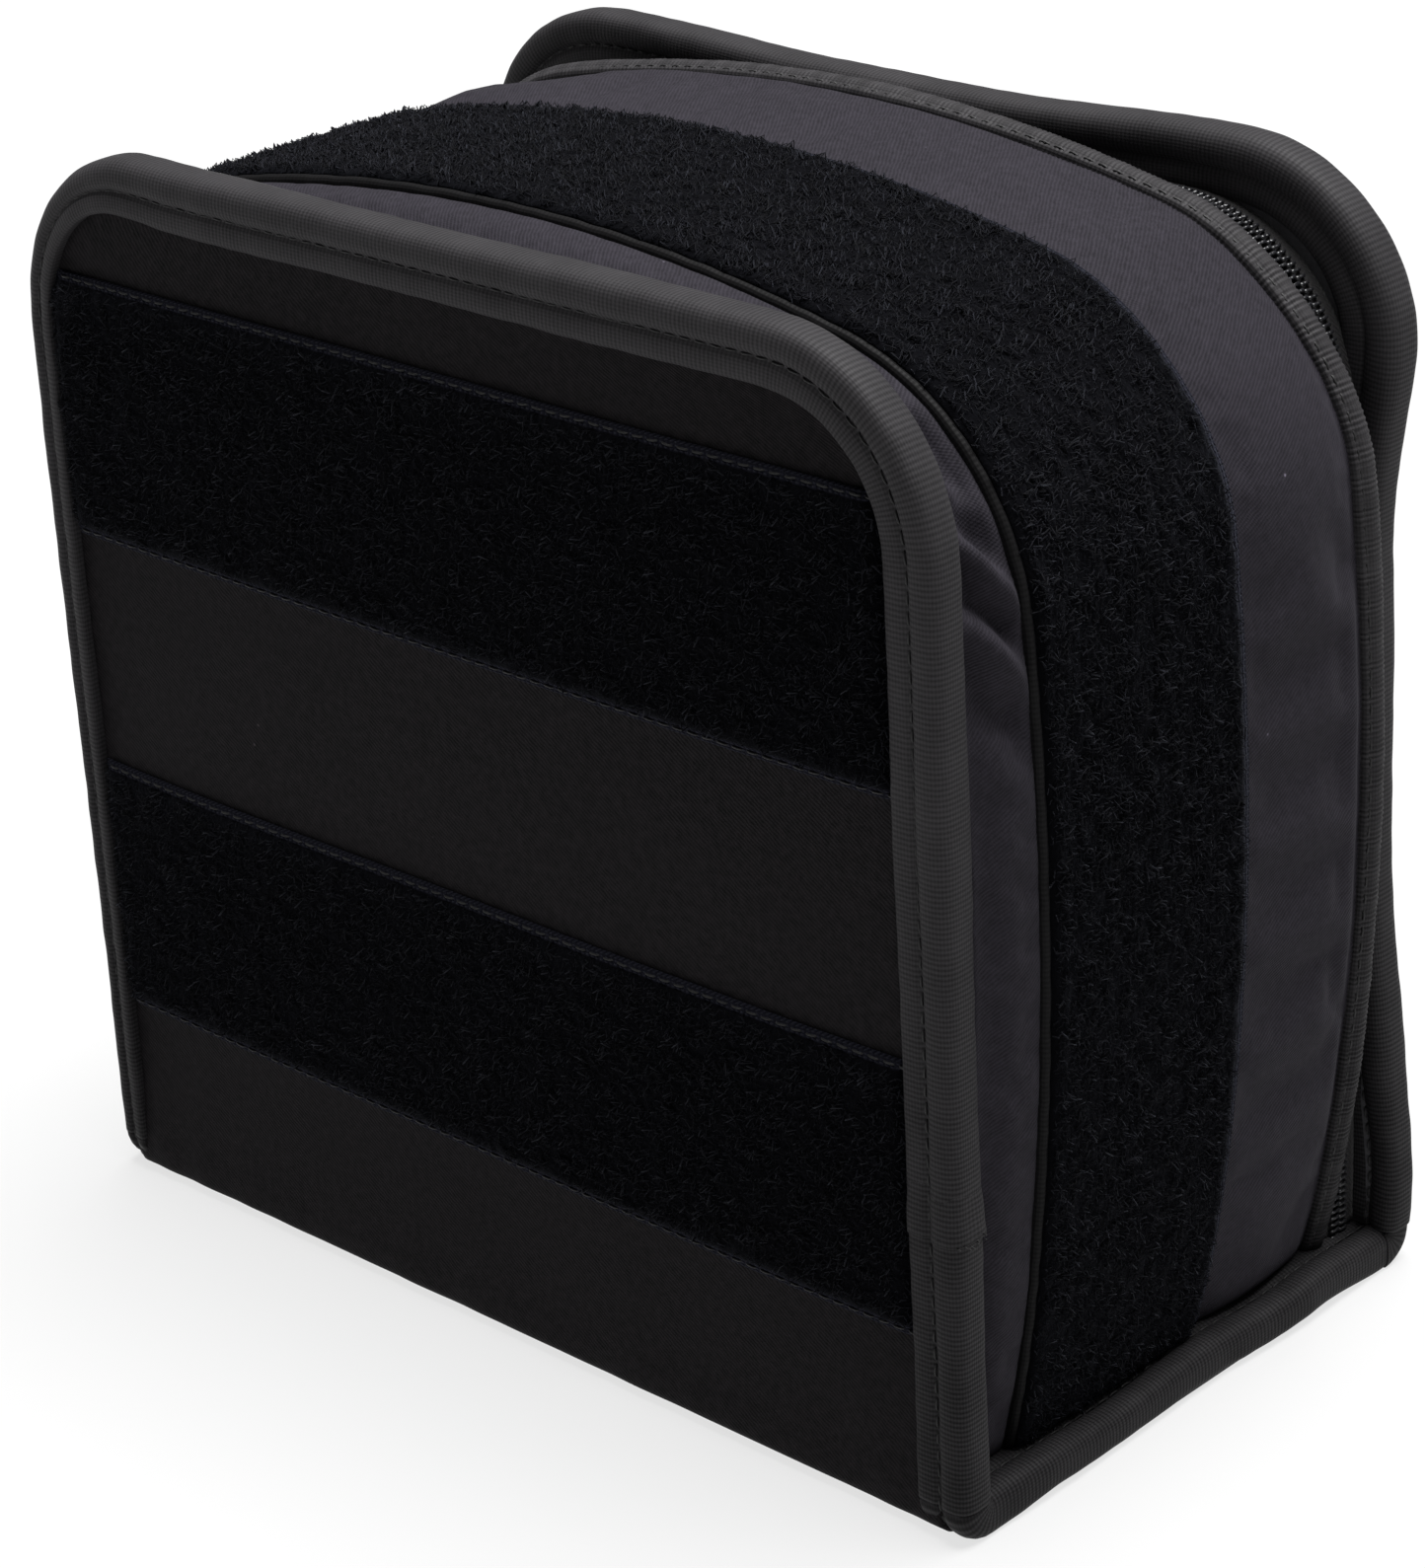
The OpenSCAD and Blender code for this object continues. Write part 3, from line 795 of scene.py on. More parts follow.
def grown(name, host, tree, values):
    """A plain mesh of what a tree makes on a host object, which is then removed."""
    modifier = host.modifiers.new("Nodes", "NODES")
    modifier.node_group = tree
    sockets = {s.name: s.identifier for s in tree.interface.items_tree if s.in_out == "INPUT"}
    for label, value in values.items():
        modifier[sockets[label]] = value
    bpy.context.view_layer.update()
    evaluated = host.evaluated_get(bpy.context.evaluated_depsgraph_get())
    mesh = bpy.data.meshes.new_from_object(evaluated)
    mesh.name = name
    piece = placed(name, mesh)
    bpy.data.objects.remove(host)
    return piece


def guide(name, points, ups):
    """A line of vertices with an 'up' vector at each, for follow_tree."""
    mesh = bpy.data.meshes.new(name)
    mesh.from_pydata([tuple(p) for p in points], [(i, i + 1) for i in range(len(points) - 1)], [])
    attribute = mesh.attributes.new("up", "FLOAT_VECTOR", "POINT")
    attribute.data.foreach_set("vector", np.asarray(ups, np.float32).ravel())
    return placed(name, mesh)


def tube(name, points, radius, sides, look, taper=None, caps=True):
    """A tube of even thickness along points."""
    points = np.asarray(points, float)
    ahead = unit(np.gradient(points, axis=0))
    side = unit(np.cross(ahead, (0.0, 1.0, 0.0) if abs(ahead[0][1]) < 0.9 else (1.0, 0.0, 0.0)))
    other = np.cross(ahead, side)
    size = np.full(len(points), radius) if taper is None else radius * np.asarray(taper)
    angles = np.arange(sides) * 2 * math.pi / sides
    rings = (points[:, None] + size[:, None, None] * (
        side[:, None] * np.cos(angles)[None, :, None] + other[:, None] * np.sin(angles)[None, :, None]))
    faces = []
    for i in range(len(points) - 1):
        for j in range(sides):
            k = (j + 1) % sides
            faces.append((i * sides + j, i * sides + k, (i + 1) * sides + k, (i + 1) * sides + j))
    if caps:
        faces.append(tuple(range(sides))[::-1])
        faces.append(tuple(range((len(points) - 1) * sides, len(points) * sides)))
    return finish_mesh(name, rings, faces, None, look)


def stitch_piece():
    """One stitch: a short thread that dips at both ends."""
    sewing = bpy.context.scene.pouch_sewing
    t = np.linspace(-1, 1, 7)
    points = np.stack([t * sewing.stitch / 2, t * 0, sewing.thread * (0.35 - 0.9 * t**4)], 1)
    return tube("stitch", points, sewing.thread / 2, 6, "thread", 1 - 0.35 * t**4)


def stitches(name, points, ups, seed, wobble=0.10):
    sewing = bpy.context.scene.pouch_sewing
    thread = stitch_piece()
    values = {"Pitch": sewing.pitch, "Piece": thread, "Look": LOOKS["thread"], "Wobble": wobble,
              "Seed": seed}
    made = grown(name, guide(name + "_line", points, ups), follow_tree(), values)
    bpy.data.objects.remove(thread)
    return made


def pile_on(name, base, seed):
    """Loops of yarn on a tape, where its 'pile' attribute is 1."""
    pile = bpy.context.scene.pouch_pile
    t = np.linspace(0, math.pi, 3)
    arc = np.stack([-np.cos(t) * pile.height * 0.55, 0 * t, np.sin(t) * pile.height - pile.yarn], 1)
    loop = tube("loop", arc, pile.yarn / 2, 3, "loop_yarn", caps=False)
    host = placed(name + "_host", base.data.copy())
    share = np.zeros(len(host.data.vertices))
    host.data.attributes["pile"].data.foreach_get("value", share)
    area = sum(p.area * share[list(p.vertices)].mean() for p in host.data.polygons)
    values = {"Density": pile.loops / area, "Piece": loop, "Look": LOOKS["loop_yarn"], "Lean": 0.75,
              "Seed": seed}
    made = grown(name, host, scatter_tree(), values)
    bpy.data.objects.remove(loop)
    return made


def mark_pile(piece, mask):
    """Stores where a tape has pile."""
    attribute = piece.data.attributes.new("pile", "FLOAT", "POINT")
    attribute.data.foreach_set("value", np.asarray(mask, np.float32).ravel())


def attach(piece, body, slot, *nodes):
    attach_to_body(piece, body)
    if nodes:
        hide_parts(*nodes)
    return piece


# ---- the pouch's own measures ----


class Sizes:
    """Places that several pieces share, from the frame's boxes."""

    def __init__(self):
        front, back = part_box("front_binding"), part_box("door_binding")
        self.y_front = front[0].y
        self.y_inside = front[1].y
        self.y_door = back[0].y
        self.y_back = back[1].y
        self.panel = front[1].y - front[0].y
        self.half_w = front[1].x
        self.top = front[1].z
        nodes = ("gusset_front_band", "gusset_loop_band", "gusset_rear_binding")
        band, loop, roll = (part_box(node) for node in nodes)
        self.y_piping = band[1].y
        self.y_loop = loop[0].y
        self.y_loop_end = loop[1].y
        self.y_roll = roll[0].y
        self.y_roll_end = roll[1].y
        self.foot = band[0].z
        self.g_top = loop[1].z
        self.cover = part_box("gusset_cover")[1].z - self.g_top
        self.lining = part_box("gusset_lining")[1].z - self.g_top
        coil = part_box("zip_coil_gusset"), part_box("zip_coil_door")
        self.y_zip = (coil[0][1].y + coil[1][0].y) / 2
        self.coil = coil[0][1].y - coil[0][0].y
        self.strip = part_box("front_cover")[0].y - self.y_front
        self.cloth = MM
        self.bend = self.panel
        self.fold = 0.0034


def gusset_shape(edge, y):
    """How far the padded arch stands off its plain outline at depth y."""
    s = SIZES
    depth = y - s.y_inside
    front = -3.2 * MM * np.exp(-((depth / 0.0042) ** 2))
    behind_loop = min(1.0, max(0.0, (y - s.y_loop_end) / (s.y_roll - s.y_loop_end)))
    rear_band = 1.2 * MM * math.sin(math.pi * behind_loop)
    rear = float(ease(y, s.y_loop, s.y_roll_end))
    drawn = -2.2 * MM * edge.corner * rear
    middle = 1.4 * MM * np.sin(np.clip(edge.from_foot / (edge.length * 0.36), 0, 1) * math.pi) * rear
    foot = -1.6 * MM * np.exp(-edge.from_foot / 0.014)
    seam = -0.5 * MM * (hump(y, s.y_loop - 0.0004, 0.0012) + hump(y, s.y_roll - 0.0004, 0.0014))
    return np.maximum(front + rear_band + drawn + middle + foot + seam + pleats(edge, depth), -3.9 * MM)


def pleats(edge, depth):
    """Folds that run from the front seam's two top corners down to the cord."""
    fade = float(1 - ease(depth, 0.0085, 0.0128))
    total = np.zeros(edge.along.shape)
    for turn in (-1, 1):
        peak = np.where(edge.points[:, 0] * turn > 0, edge.corner, 0).argmax()
        past = turn * (edge.along - edge.along[peak])
        for place, deep, width, lean in ((0.019, 3.0, 0.0040, 1.4), (0.037, 2.4, 0.0054, 1.1),
                                         (0.003, 1.5, 0.0038, 1.5), (-0.012, 1.0, 0.0038, 1.0),
                                         (-0.028, 0.7, 0.0040, 0.5)):
            total -= deep * MM * hump(past, place + lean * depth, width)
            total += 0.8 * deep * MM * hump(past, place - 1.9 * width + lean * depth, 0.9 * width)
        total -= 3.4 * MM * float(hump(depth, 0.0088, 0.0026)) * hump(past, 0.003, 0.018)
    return total * fade


class Field:
    """The gusset's settled shape: how far each point of the arch moves out, by place and depth."""

    def __init__(self, edge):
        s = SIZES
        self.depths = np.linspace(s.y_inside, s.y_roll_end, 34)
        self.share = edge.along / edge.length
        plain = np.stack([edge.column(y, s.cover + gusset_shape(edge, y)) for y in self.depths], 1)
        held = np.zeros(plain.shape[:2])
        held[:, 0] = held[:, -1] = 1.0
        held[0] = held[-1] = 1.0
        stiff = (self.depths > s.y_loop) & (self.depths < s.y_loop_end)
        held[:, stiff] = np.maximum(held[:, stiff], 0.8)
        seams = np.array([s.y_piping, s.y_loop, s.y_loop_end, s.y_roll])
        held[:, np.abs(self.depths[:, None] - seams).min(1) < 0.0016] = 1.0
        slack = bpy.context.scene.pouch_sewing.slack
        shift = settled(plain, held, slack, 1.2, 1.3 * MM)
        self.shift = np.einsum("ijk,ik->ij", shift, edge.outward)

    def __call__(self, edge, y):
        """Total offset at depth y along an edge."""
        y = min(max(y, self.depths[0]), self.depths[-1])
        j = min(int(np.searchsorted(self.depths, y, "right")) - 1, len(self.depths) - 2)
        t = (y - self.depths[j]) / (self.depths[j + 1] - self.depths[j])
        mixed = self.shift[:, j] * (1 - t) + self.shift[:, j + 1] * t
        return gusset_shape(edge, y) + np.interp(edge.along / edge.length, self.share, mixed)


SIZES = Sizes()
SHARED = {}


def gusset_field():
    if "field" not in SHARED:
        SHARED["field"] = Field(Edge("gusset_loop_band", 0.0032))
    return SHARED["field"]


def door_outline(points):
    """The door's sides are drawn in between the zip's corners, and its lower corners stand out."""
    points = points.copy()
    z = points[:, 1]
    drawn = 0.0046 * ease(z, 0.022, 0.085) * (1 - ease(z, 0.135, 0.184))
    ear = 0.0014 * hump(z, 0.018, 0.014)
    sag = 0.0018 * ease(z, SIZES.top - 0.004, SIZES.top) * (1 - ease(np.abs(points[:, 0]), 0.02, 0.07))
    points[:, 0] -= np.sign(points[:, 0]) * (drawn - ear)
    points[:, 1] -= sag
    return points


# ---- bindings ----


def binding_section(width, half, groove, arc_steps=10):
    """A folded tape's section: (distance in from the edge, height off the panel's mid-plane)."""
    lip = half + 0.0002
    leg = [(width, half - 0.0012), (width + 0.0001, lip - 0.0003), (width - 0.0004, lip),
           (width - 0.0014, lip + 0.0001), (groove + 0.0011, lip), (groove + 0.0005, lip - 0.0003),
           (groove, lip - 0.0006), (groove - 0.0005, lip - 0.0002), (groove - 0.0011, lip + 0.0003),
           (groove - 0.0022, lip + 0.0005)]
    top = []
    for k in range(arc_steps):
        a = math.pi / 2 * (k + 1) / (arc_steps + 1)
        top.append(((groove - 0.0022) * (1 - math.sin(a) ** 0.75), (lip + 0.0005) * math.cos(a) ** 0.62))
    upper = leg + top
    lower = [(e, -n) for e, n in upper][::-1]
    return upper + [(0.0, 0.0)] + lower


class Rail:
    """A panel's edge in space: points on its mid-plane, the way in, and the way out of its face."""

    def __init__(self, points, inward, face, share=1.0, curl=0.0, thick=1.0):
        count = len(points)
        self.points, self.inward, self.face = points, inward, face
        self.share, self.curl, self.thick = (np.broadcast_to(v, count) for v in (share, curl, thick))
        self.along = run_of(points)

    def column(self, inset, height):
        """Points at a distance in from the edge and a height off the mid-plane. The edge can be narrower
        by share, curl back, and be thicker or thinner by thick."""
        rolled = self.curl * np.maximum(0.0, 1 - inset / 0.0105) ** 1.5
        return (self.points + self.inward * (inset * self.share)[:, None]
                + self.face * (height * self.thick - rolled)[:, None])

    def part(self, low, high):
        keep = (self.along >= low - 1e-9) & (self.along <= high + 1e-9)
        return Rail(self.points[keep], self.inward[keep], self.face[keep], self.share[keep],
                    self.curl[keep], self.thick[keep])

    @staticmethod
    def of_edge(edge, y, facing):
        """Along an outline at depth y, with its face towards facing, -1 or 1, along Y."""
        flat = np.zeros(len(edge.along))
        points = np.stack([edge.points[:, 0], flat + y, edge.points[:, 1]], 1)
        inward = np.stack([-edge.normals[:, 0], flat, -edge.normals[:, 1]], 1)
        face = np.tile((0.0, float(facing), 0.0), (len(edge.along), 1))
        left = ease(-edge.points[:, 0], 0.06, 0.1) if facing < 0 else 0.0
        return Rail(points, inward, face, 1 - 0.28 * left, 0.0018 * left)

    @staticmethod
    def of_base(side, step):
        """From the front panel's foot round the bend and back along the base's side edge, which is wavy."""
        s = SIZES
        mid, r = s.panel / 2, s.bend - s.panel / 2
        y0 = s.y_front + s.bend
        turn = np.linspace(0, math.pi / 2, max(4, round(r * math.pi / 2 / step) + 1))
        bend = [(y0 - r * math.cos(a), s.bend - r * math.sin(a), math.cos(a), math.sin(a)) for a in turn]
        run = [(y, mid, 0.0, 1.0) for y in np.arange(y0 + step, s.y_door + 1e-9, step)]
        rows = np.array(bend + run)
        x = np.full(len(rows), side * s.half_w)
        points = np.stack([x, rows[:, 0], rows[:, 1]], 1)
        face = np.stack([0 * x, -rows[:, 2], -rows[:, 3]], 1)
        inward = np.tile((-float(side), 0.0, 0.0), (len(rows), 1))
        free = ease(rows[:, 0], y0, y0 + 0.02) * (1 - ease(rows[:, 0], s.y_door - 0.02, s.y_door))
        wave = ripple(points * (0.0, 1.0, 0.0), 0.026, 33 + side)
        points[:, 0] += side * free * wave * 0.0012
        points[:, 2] += free * (0.0007 + 0.0011 * ripple(points * (0.0, 1.0, 0.0), 0.03, 37 + side))
        left = (side < 0) * (1 - free)
        curl = 0.0018 * left * (face[:, 1] < -0.5)
        return Rail(points, inward, face, 1 - 0.28 * left, curl, 1 - 0.14 * free)


def handled(seed, sway, fine=0.00012):
    """The small unevenness of sewn tape: slow waves of its edge and dents a few millimetres long."""

    def relief(along, turn, grid):
        slow = ripple(grid[::8, :1], 0.03, seed)[:, 0]
        waves = np.interp(np.arange(len(grid)), np.arange(0, len(grid), 8), slow)[:, None] * sway
        return ripple(grid, 0.005, seed + 1) * fine + waves

    return relief


def bind(name, rail, slot_nodes, body, seed, sway=0.0003):
    """A folded, ribbed tape along a rail, with a row of stitches on each face."""
    cloth, sewing = bpy.context.scene.pouch_cloth, bpy.context.scene.pouch_sewing
    half = SIZES.panel / 2
    section = binding_section(cloth.binding_width, half, sewing.line)
    columns = [rail.column(e, n) for e, n in section]
    tape = skin(name, columns, "grosgrain_binding", handled(seed, sway))
    attach(tape, body, "grosgrain_binding", *slot_nodes)
    for side, label in ((1, "outer"), (-1, "inner")):
        line = rail.column(sewing.line, side * (half - 0.0003))
        sewn = stitches(f"{name}_stitches_{label}", line, rail.face * side, seed + side)
        attach(sewn, body, "grosgrain_binding")
    return tape


# ---- panels ----


def half_width(edge, z, inset):
    """Half the width inside an outline at height z, moved in by inset."""
    right = edge.points[:, 0] >= 0
    inner = edge.points[right] - edge.normals[right] * inset
    order = np.argsort(inner[:, 1], kind="stable")
    upright = inner[order]
    flat = upright[:, 1]
    return np.interp(z, flat, upright[:, 0])


def panel_grid(edge, inset, z_low, z_high, across_steps, up_steps, y, bulge):
    """Points of a panel's face between two heights. bulge(x, z) is added to y."""
    rows = []
    for z in np.linspace(z_low, z_high, up_steps):
        reach = half_width(edge, z, inset)
        x = np.linspace(-reach, reach, across_steps)
        rows.append(space(x, y + bulge(x, z + 0 * x), z))
    return np.array(rows)


def crown(x, z):
    """How far a padded panel swells, from 0 at its edges to 1."""
    s = SIZES
    side = np.clip(1 - (np.abs(x) / (s.half_w - 0.010)) ** 4, 0, 1)
    height = np.clip(1 - (np.abs(z - s.top * 0.5) / (s.top * 0.5 - 0.004)) ** 4, 0, 1)
    return side * height


def front_bulge(x, z):
    """The front cover's rise off its plane, towards -Y: padding, waves, and puckers at the lower seam."""
    points = space(x, 0.0, z)
    waves = ripple(points, 0.05, 3) * 0.35 * MM + ripple(points, 0.018, 4) * 0.10 * MM
    low = np.exp(-np.maximum(z - 0.006, 0) / 0.011)
    gathers = ripple(points * (1.0, 0.0, 0.25), 0.0075, 17) * ease(ripple(points, 0.05, 18), -0.2, 0.3)
    return -(crown(x, z) * 0.9 * MM + waves + low * (1.1 + 0.75 * gathers) * MM)


class POUCH_OT_front_panel(bpy.types.Operator):
    """Build the front panel's cover, with its bend into the base, and its binding"""

    bl_idname = "pouch.front_panel"
    bl_label = "Front Panel"

    def execute(self, context):
        s = SIZES
        edge = Edge("front_binding", 0.0008)
        SHARED["front_edge"] = edge
        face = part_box("front_cover")[0].y
        upright = panel_grid(edge, COVER_INSET, s.fold, s.top - COVER_INSET, 131, 128, face, front_bulge)
        width = half_width(edge, s.bend, COVER_INSET)
        x = np.linspace(-width, width, 131)
        turn = np.linspace(math.pi / 2, 0, 9)[:-1]
        radius = s.fold
        centre_y, centre_z = face + radius, radius
        rows = []
        for a in turn:
            swell = front_bulge(x, 0 * x + s.fold)
            y = centre_y - radius * math.cos(a) + swell * math.cos(a)
            rows.append(space(x, y, centre_z - radius * math.sin(a)))
        grid = np.concatenate([np.array(rows), upright])
        down = np.zeros(grid.shape)
        down[..., 1] = 1.0
        for k, a in enumerate(turn):
            down[k, :, 1], down[k, :, 2] = math.cos(a), math.sin(a)
        cover = slab("front_cover_cloth", grid, s.cloth, down, "shell_twill")
        attach(cover, "shell", "shell_twill", "front_cover")
        rail = Rail.of_edge(edge, (s.y_front + s.y_inside) / 2, -1)
        bind("front_binding_tape", rail, ["front_binding"], "shell", 1)
        self.overlap(rail.part(edge.length - 0.0800, edge.length - 0.0500))
        for side, label in ((-1, "left"), (1, "right")):
            bind(f"base_binding_tape_{label}", Rail.of_base(side, 0.0008), [f"base_binding_{label}"],
                 "shell", 5 + side, sway=0.0004)
        return {"FINISHED"}

    @staticmethod
    def overlap(rail):
        """The tape's end, laid over its start low on the right, with a few threads worked loose."""
        cloth, sewing = bpy.context.scene.pouch_cloth, bpy.context.scene.pouch_sewing
        half = SIZES.panel / 2
        section = binding_section(cloth.binding_width, half, sewing.line)
        lift = 0.0016 * np.linspace(0, 1, len(rail.along)) - 0.0011
        out = [rail.column(e - lift * (1 - e / cloth.binding_width), n + lift * np.sign(n))
               for e, n in section]
        end = skin("front_binding_overlap", out, "grosgrain_binding", handled(77, 0.0002, 0.0002))
        attach(end, "shell", "grosgrain_binding")
        threads = []
        for k in range(16):
            t = np.linspace(0, 1, 5)[:, None]
            root = rail.column(0.0002 + 0.0004 * (k % 3), half * (1.0 - 0.12 * k))[-1]
            curl = ripple(np.array([[k * 1.7, 0.3, 0.1], [0.2, k * 1.3, 0.7], [0.9, 0.4, k * 2.1]]), 1.0, 78)
            tip = root - rail.inward[0] * 0.0011 + curl * 0.0014
            path = root * (1 - t) + tip * t + curl * 0.0005 * np.sin(t * math.pi)
            threads.append(tube(f"frayed_{k}", path, 0.00012, 4, "thread"))
        attach(join(threads, "front_binding_frayed_threads"), "shell", "grosgrain_binding")


class POUCH_OT_front_strips(bpy.types.Operator):
    """Build the two strips of loop tape on the front panel"""

    bl_idname = "pouch.front_strips"
    bl_label = "Front Strips"

    def execute(self, context):
        s = SIZES
        edge = SHARED["front_edge"]
        pile = context.scene.pouch_pile
        for seed, label in enumerate(("lower", "upper")):
            low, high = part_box(f"front_loop_strip_{label}")
            height = high.z - low.z
            rise = high.y - low.y
            inset = 0.0062

            def bulge(x, z, low=low, high=high, rise=rise):
                points = space(x, 0.0, z)
                tufts = ripple(points, 0.0022, 11) * 0.22 * MM + ripple(points, 0.007, 12) * 0.15 * MM
                rim = np.minimum(z - low.z, high.z - z)
                lift = 0.55 + 0.45 * ease(rim, pile.selvage * 0.7, pile.selvage * 1.5)
                reach = half_width(edge, z[0], PILE_INSET + 0.0005) + LEFT_SHOWS * (x < 0)
                tucked = 1 - 0.85 * ease(np.abs(x), reach - 0.0014, reach + 0.0006)
                woven = ease(rim, pile.selvage * 0.6, pile.selvage * 1.4)
                return front_bulge(x, z) - rise * lift * tucked - tufts * tucked * woven

            steps = round(height / 0.0009)
            grid = panel_grid(edge, inset, low.z, high.z, 221, steps, s.y_front + s.strip, bulge)
            strip = slab(f"front_loop_tape_{label}", grid, rise * 0.5, (0.0, 1.0, 0.0), "loop_pile")
            co = np.array([v.co for v in strip.data.vertices])
            set_uv(strip.data, np.stack([co[:, 0], co[:, 2] - low.z], 1))
            mask = self.pile_mask(strip, low.z, high.z, edge, pile.selvage)
            mark_pile(strip, mask)
            tufts = pile_on(f"front_loop_tape_{label}_pile", strip, 20 + seed)
            attach(strip, "shell", "loop_pile", f"front_loop_strip_{label}")
            attach(tufts, "shell", "loop_pile")
            for k, z in enumerate((low.z + pile.selvage * 0.45, high.z - pile.selvage * 0.45)):
                reach = half_width(edge, z, PILE_INSET)
                x = np.linspace(-reach, reach, 160)
                y = s.y_front + s.strip + front_bulge(x, 0 * x + z) - rise * 0.58
                line = space(x, y, z)
                ups = np.tile((0.0, -1.0, 0.0), (len(line), 1))
                sewn = stitches(f"front_loop_tape_{label}_stitches_{k}", line, ups, 30 + k)
                attach(sewn, "shell", "loop_pile")
        return {"FINISHED"}

    @staticmethod
    def pile_mask(piece, z_low, z_high, edge, selvage):
        co = np.array([v.co for v in piece.data.vertices])
        normal = np.array([v.normal for v in piece.data.vertices])
        rim = np.minimum(co[:, 2] - z_low, z_high - co[:, 2])
        reach = half_width(edge, co[:, 2], PILE_INSET) + LEFT_SHOWS * (co[:, 0] < 0)
        return (normal[:, 1] < -0.5) & (rim > selvage * 1.25) & (np.abs(co[:, 0]) < reach)


class POUCH_OT_base(bpy.types.Operator):
    """Build the cover cloth under the base and the fold that the door turns on"""

    bl_idname = "pouch.base"
    bl_label = "Base"

    def execute(self, context):
        s = SIZES
        edge = SHARED["front_edge"]
        low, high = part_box("base_cover")
        width = half_width(edge, s.bend, COVER_INSET)
        x = np.linspace(-width, width, 90)
        rows = []
        for y in np.linspace(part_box("front_cover")[0].y + s.fold, high.y, 60):
            points = space(x, y, 0.0)
            points[:, 2] = low.z + 0.00045 + ripple(points, 0.04, 8) * 0.35 * MM
            rows.append(points)
        cover = slab("base_cover_cloth", np.array(rows), high.z - low.z, (0.0, 0.0, 1.0), "shell_twill")
        attach(cover, "shell", "shell_twill", "base_cover")
        self.fold(width)
        return {"FINISHED"}

    @staticmethod
    def fold(width):
        """The cloth and the tapes that turn the rear corner, from the base into the door."""
        s = SIZES
        mid = s.panel / 2
        centre_y, centre_z = s.y_back - s.bend, s.bend
        turn = np.linspace(-0.12, math.pi / 2 + 0.12, 17)
        points = np.array([(0.0, centre_y + mid * math.sin(a), centre_z - mid * math.cos(a)) for a in turn])
        face = np.array([(0.0, math.sin(a), -math.cos(a)) for a in turn])
        x = np.linspace(-width, width, 90)
        grid = points[:, None] + face[:, None] * (mid - 0.0005) + space(x, 0.0, 0.0)[None]
        grid = grid + face[:, None] * (ripple(grid, 0.02, 9) * 0.25 * MM)[..., None]
        cloth = slab("hinge_fold_cloth", grid, s.panel - 0.0016, -face[:, None] + 0 * grid, "shell_twill")
        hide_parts("hinge_fold")
        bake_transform(cloth)
        props = bpy.context.scene.pouch_cloth
        section = binding_section(props.binding_width, mid, bpy.context.scene.pouch_sewing.line)
        fine = np.linspace(-0.02, math.pi / 2 + 0.02, 41)
        for side, label in ((-1, "left"), (1, "right")):
            path = np.array([(side * s.half_w, centre_y + mid * math.sin(a), centre_z - mid * math.cos(a))
                             for a in fine])
            out = np.array([(0.0, math.sin(a), -math.cos(a)) for a in fine])
            rail = Rail(path, np.tile((-float(side), 0.0, 0.0), (len(fine), 1)), out)
            tape = skin(f"hinge_fold_tape_{label}", [rail.column(e, n) for e, n in section],
                        "grosgrain_binding", handled(40 + side, 0.0002))
            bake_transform(tape)


# ---- gusset ----


def surface_steps(low, high, step):
    return np.linspace(low, high, max(2, round((high - low) / step) + 1))


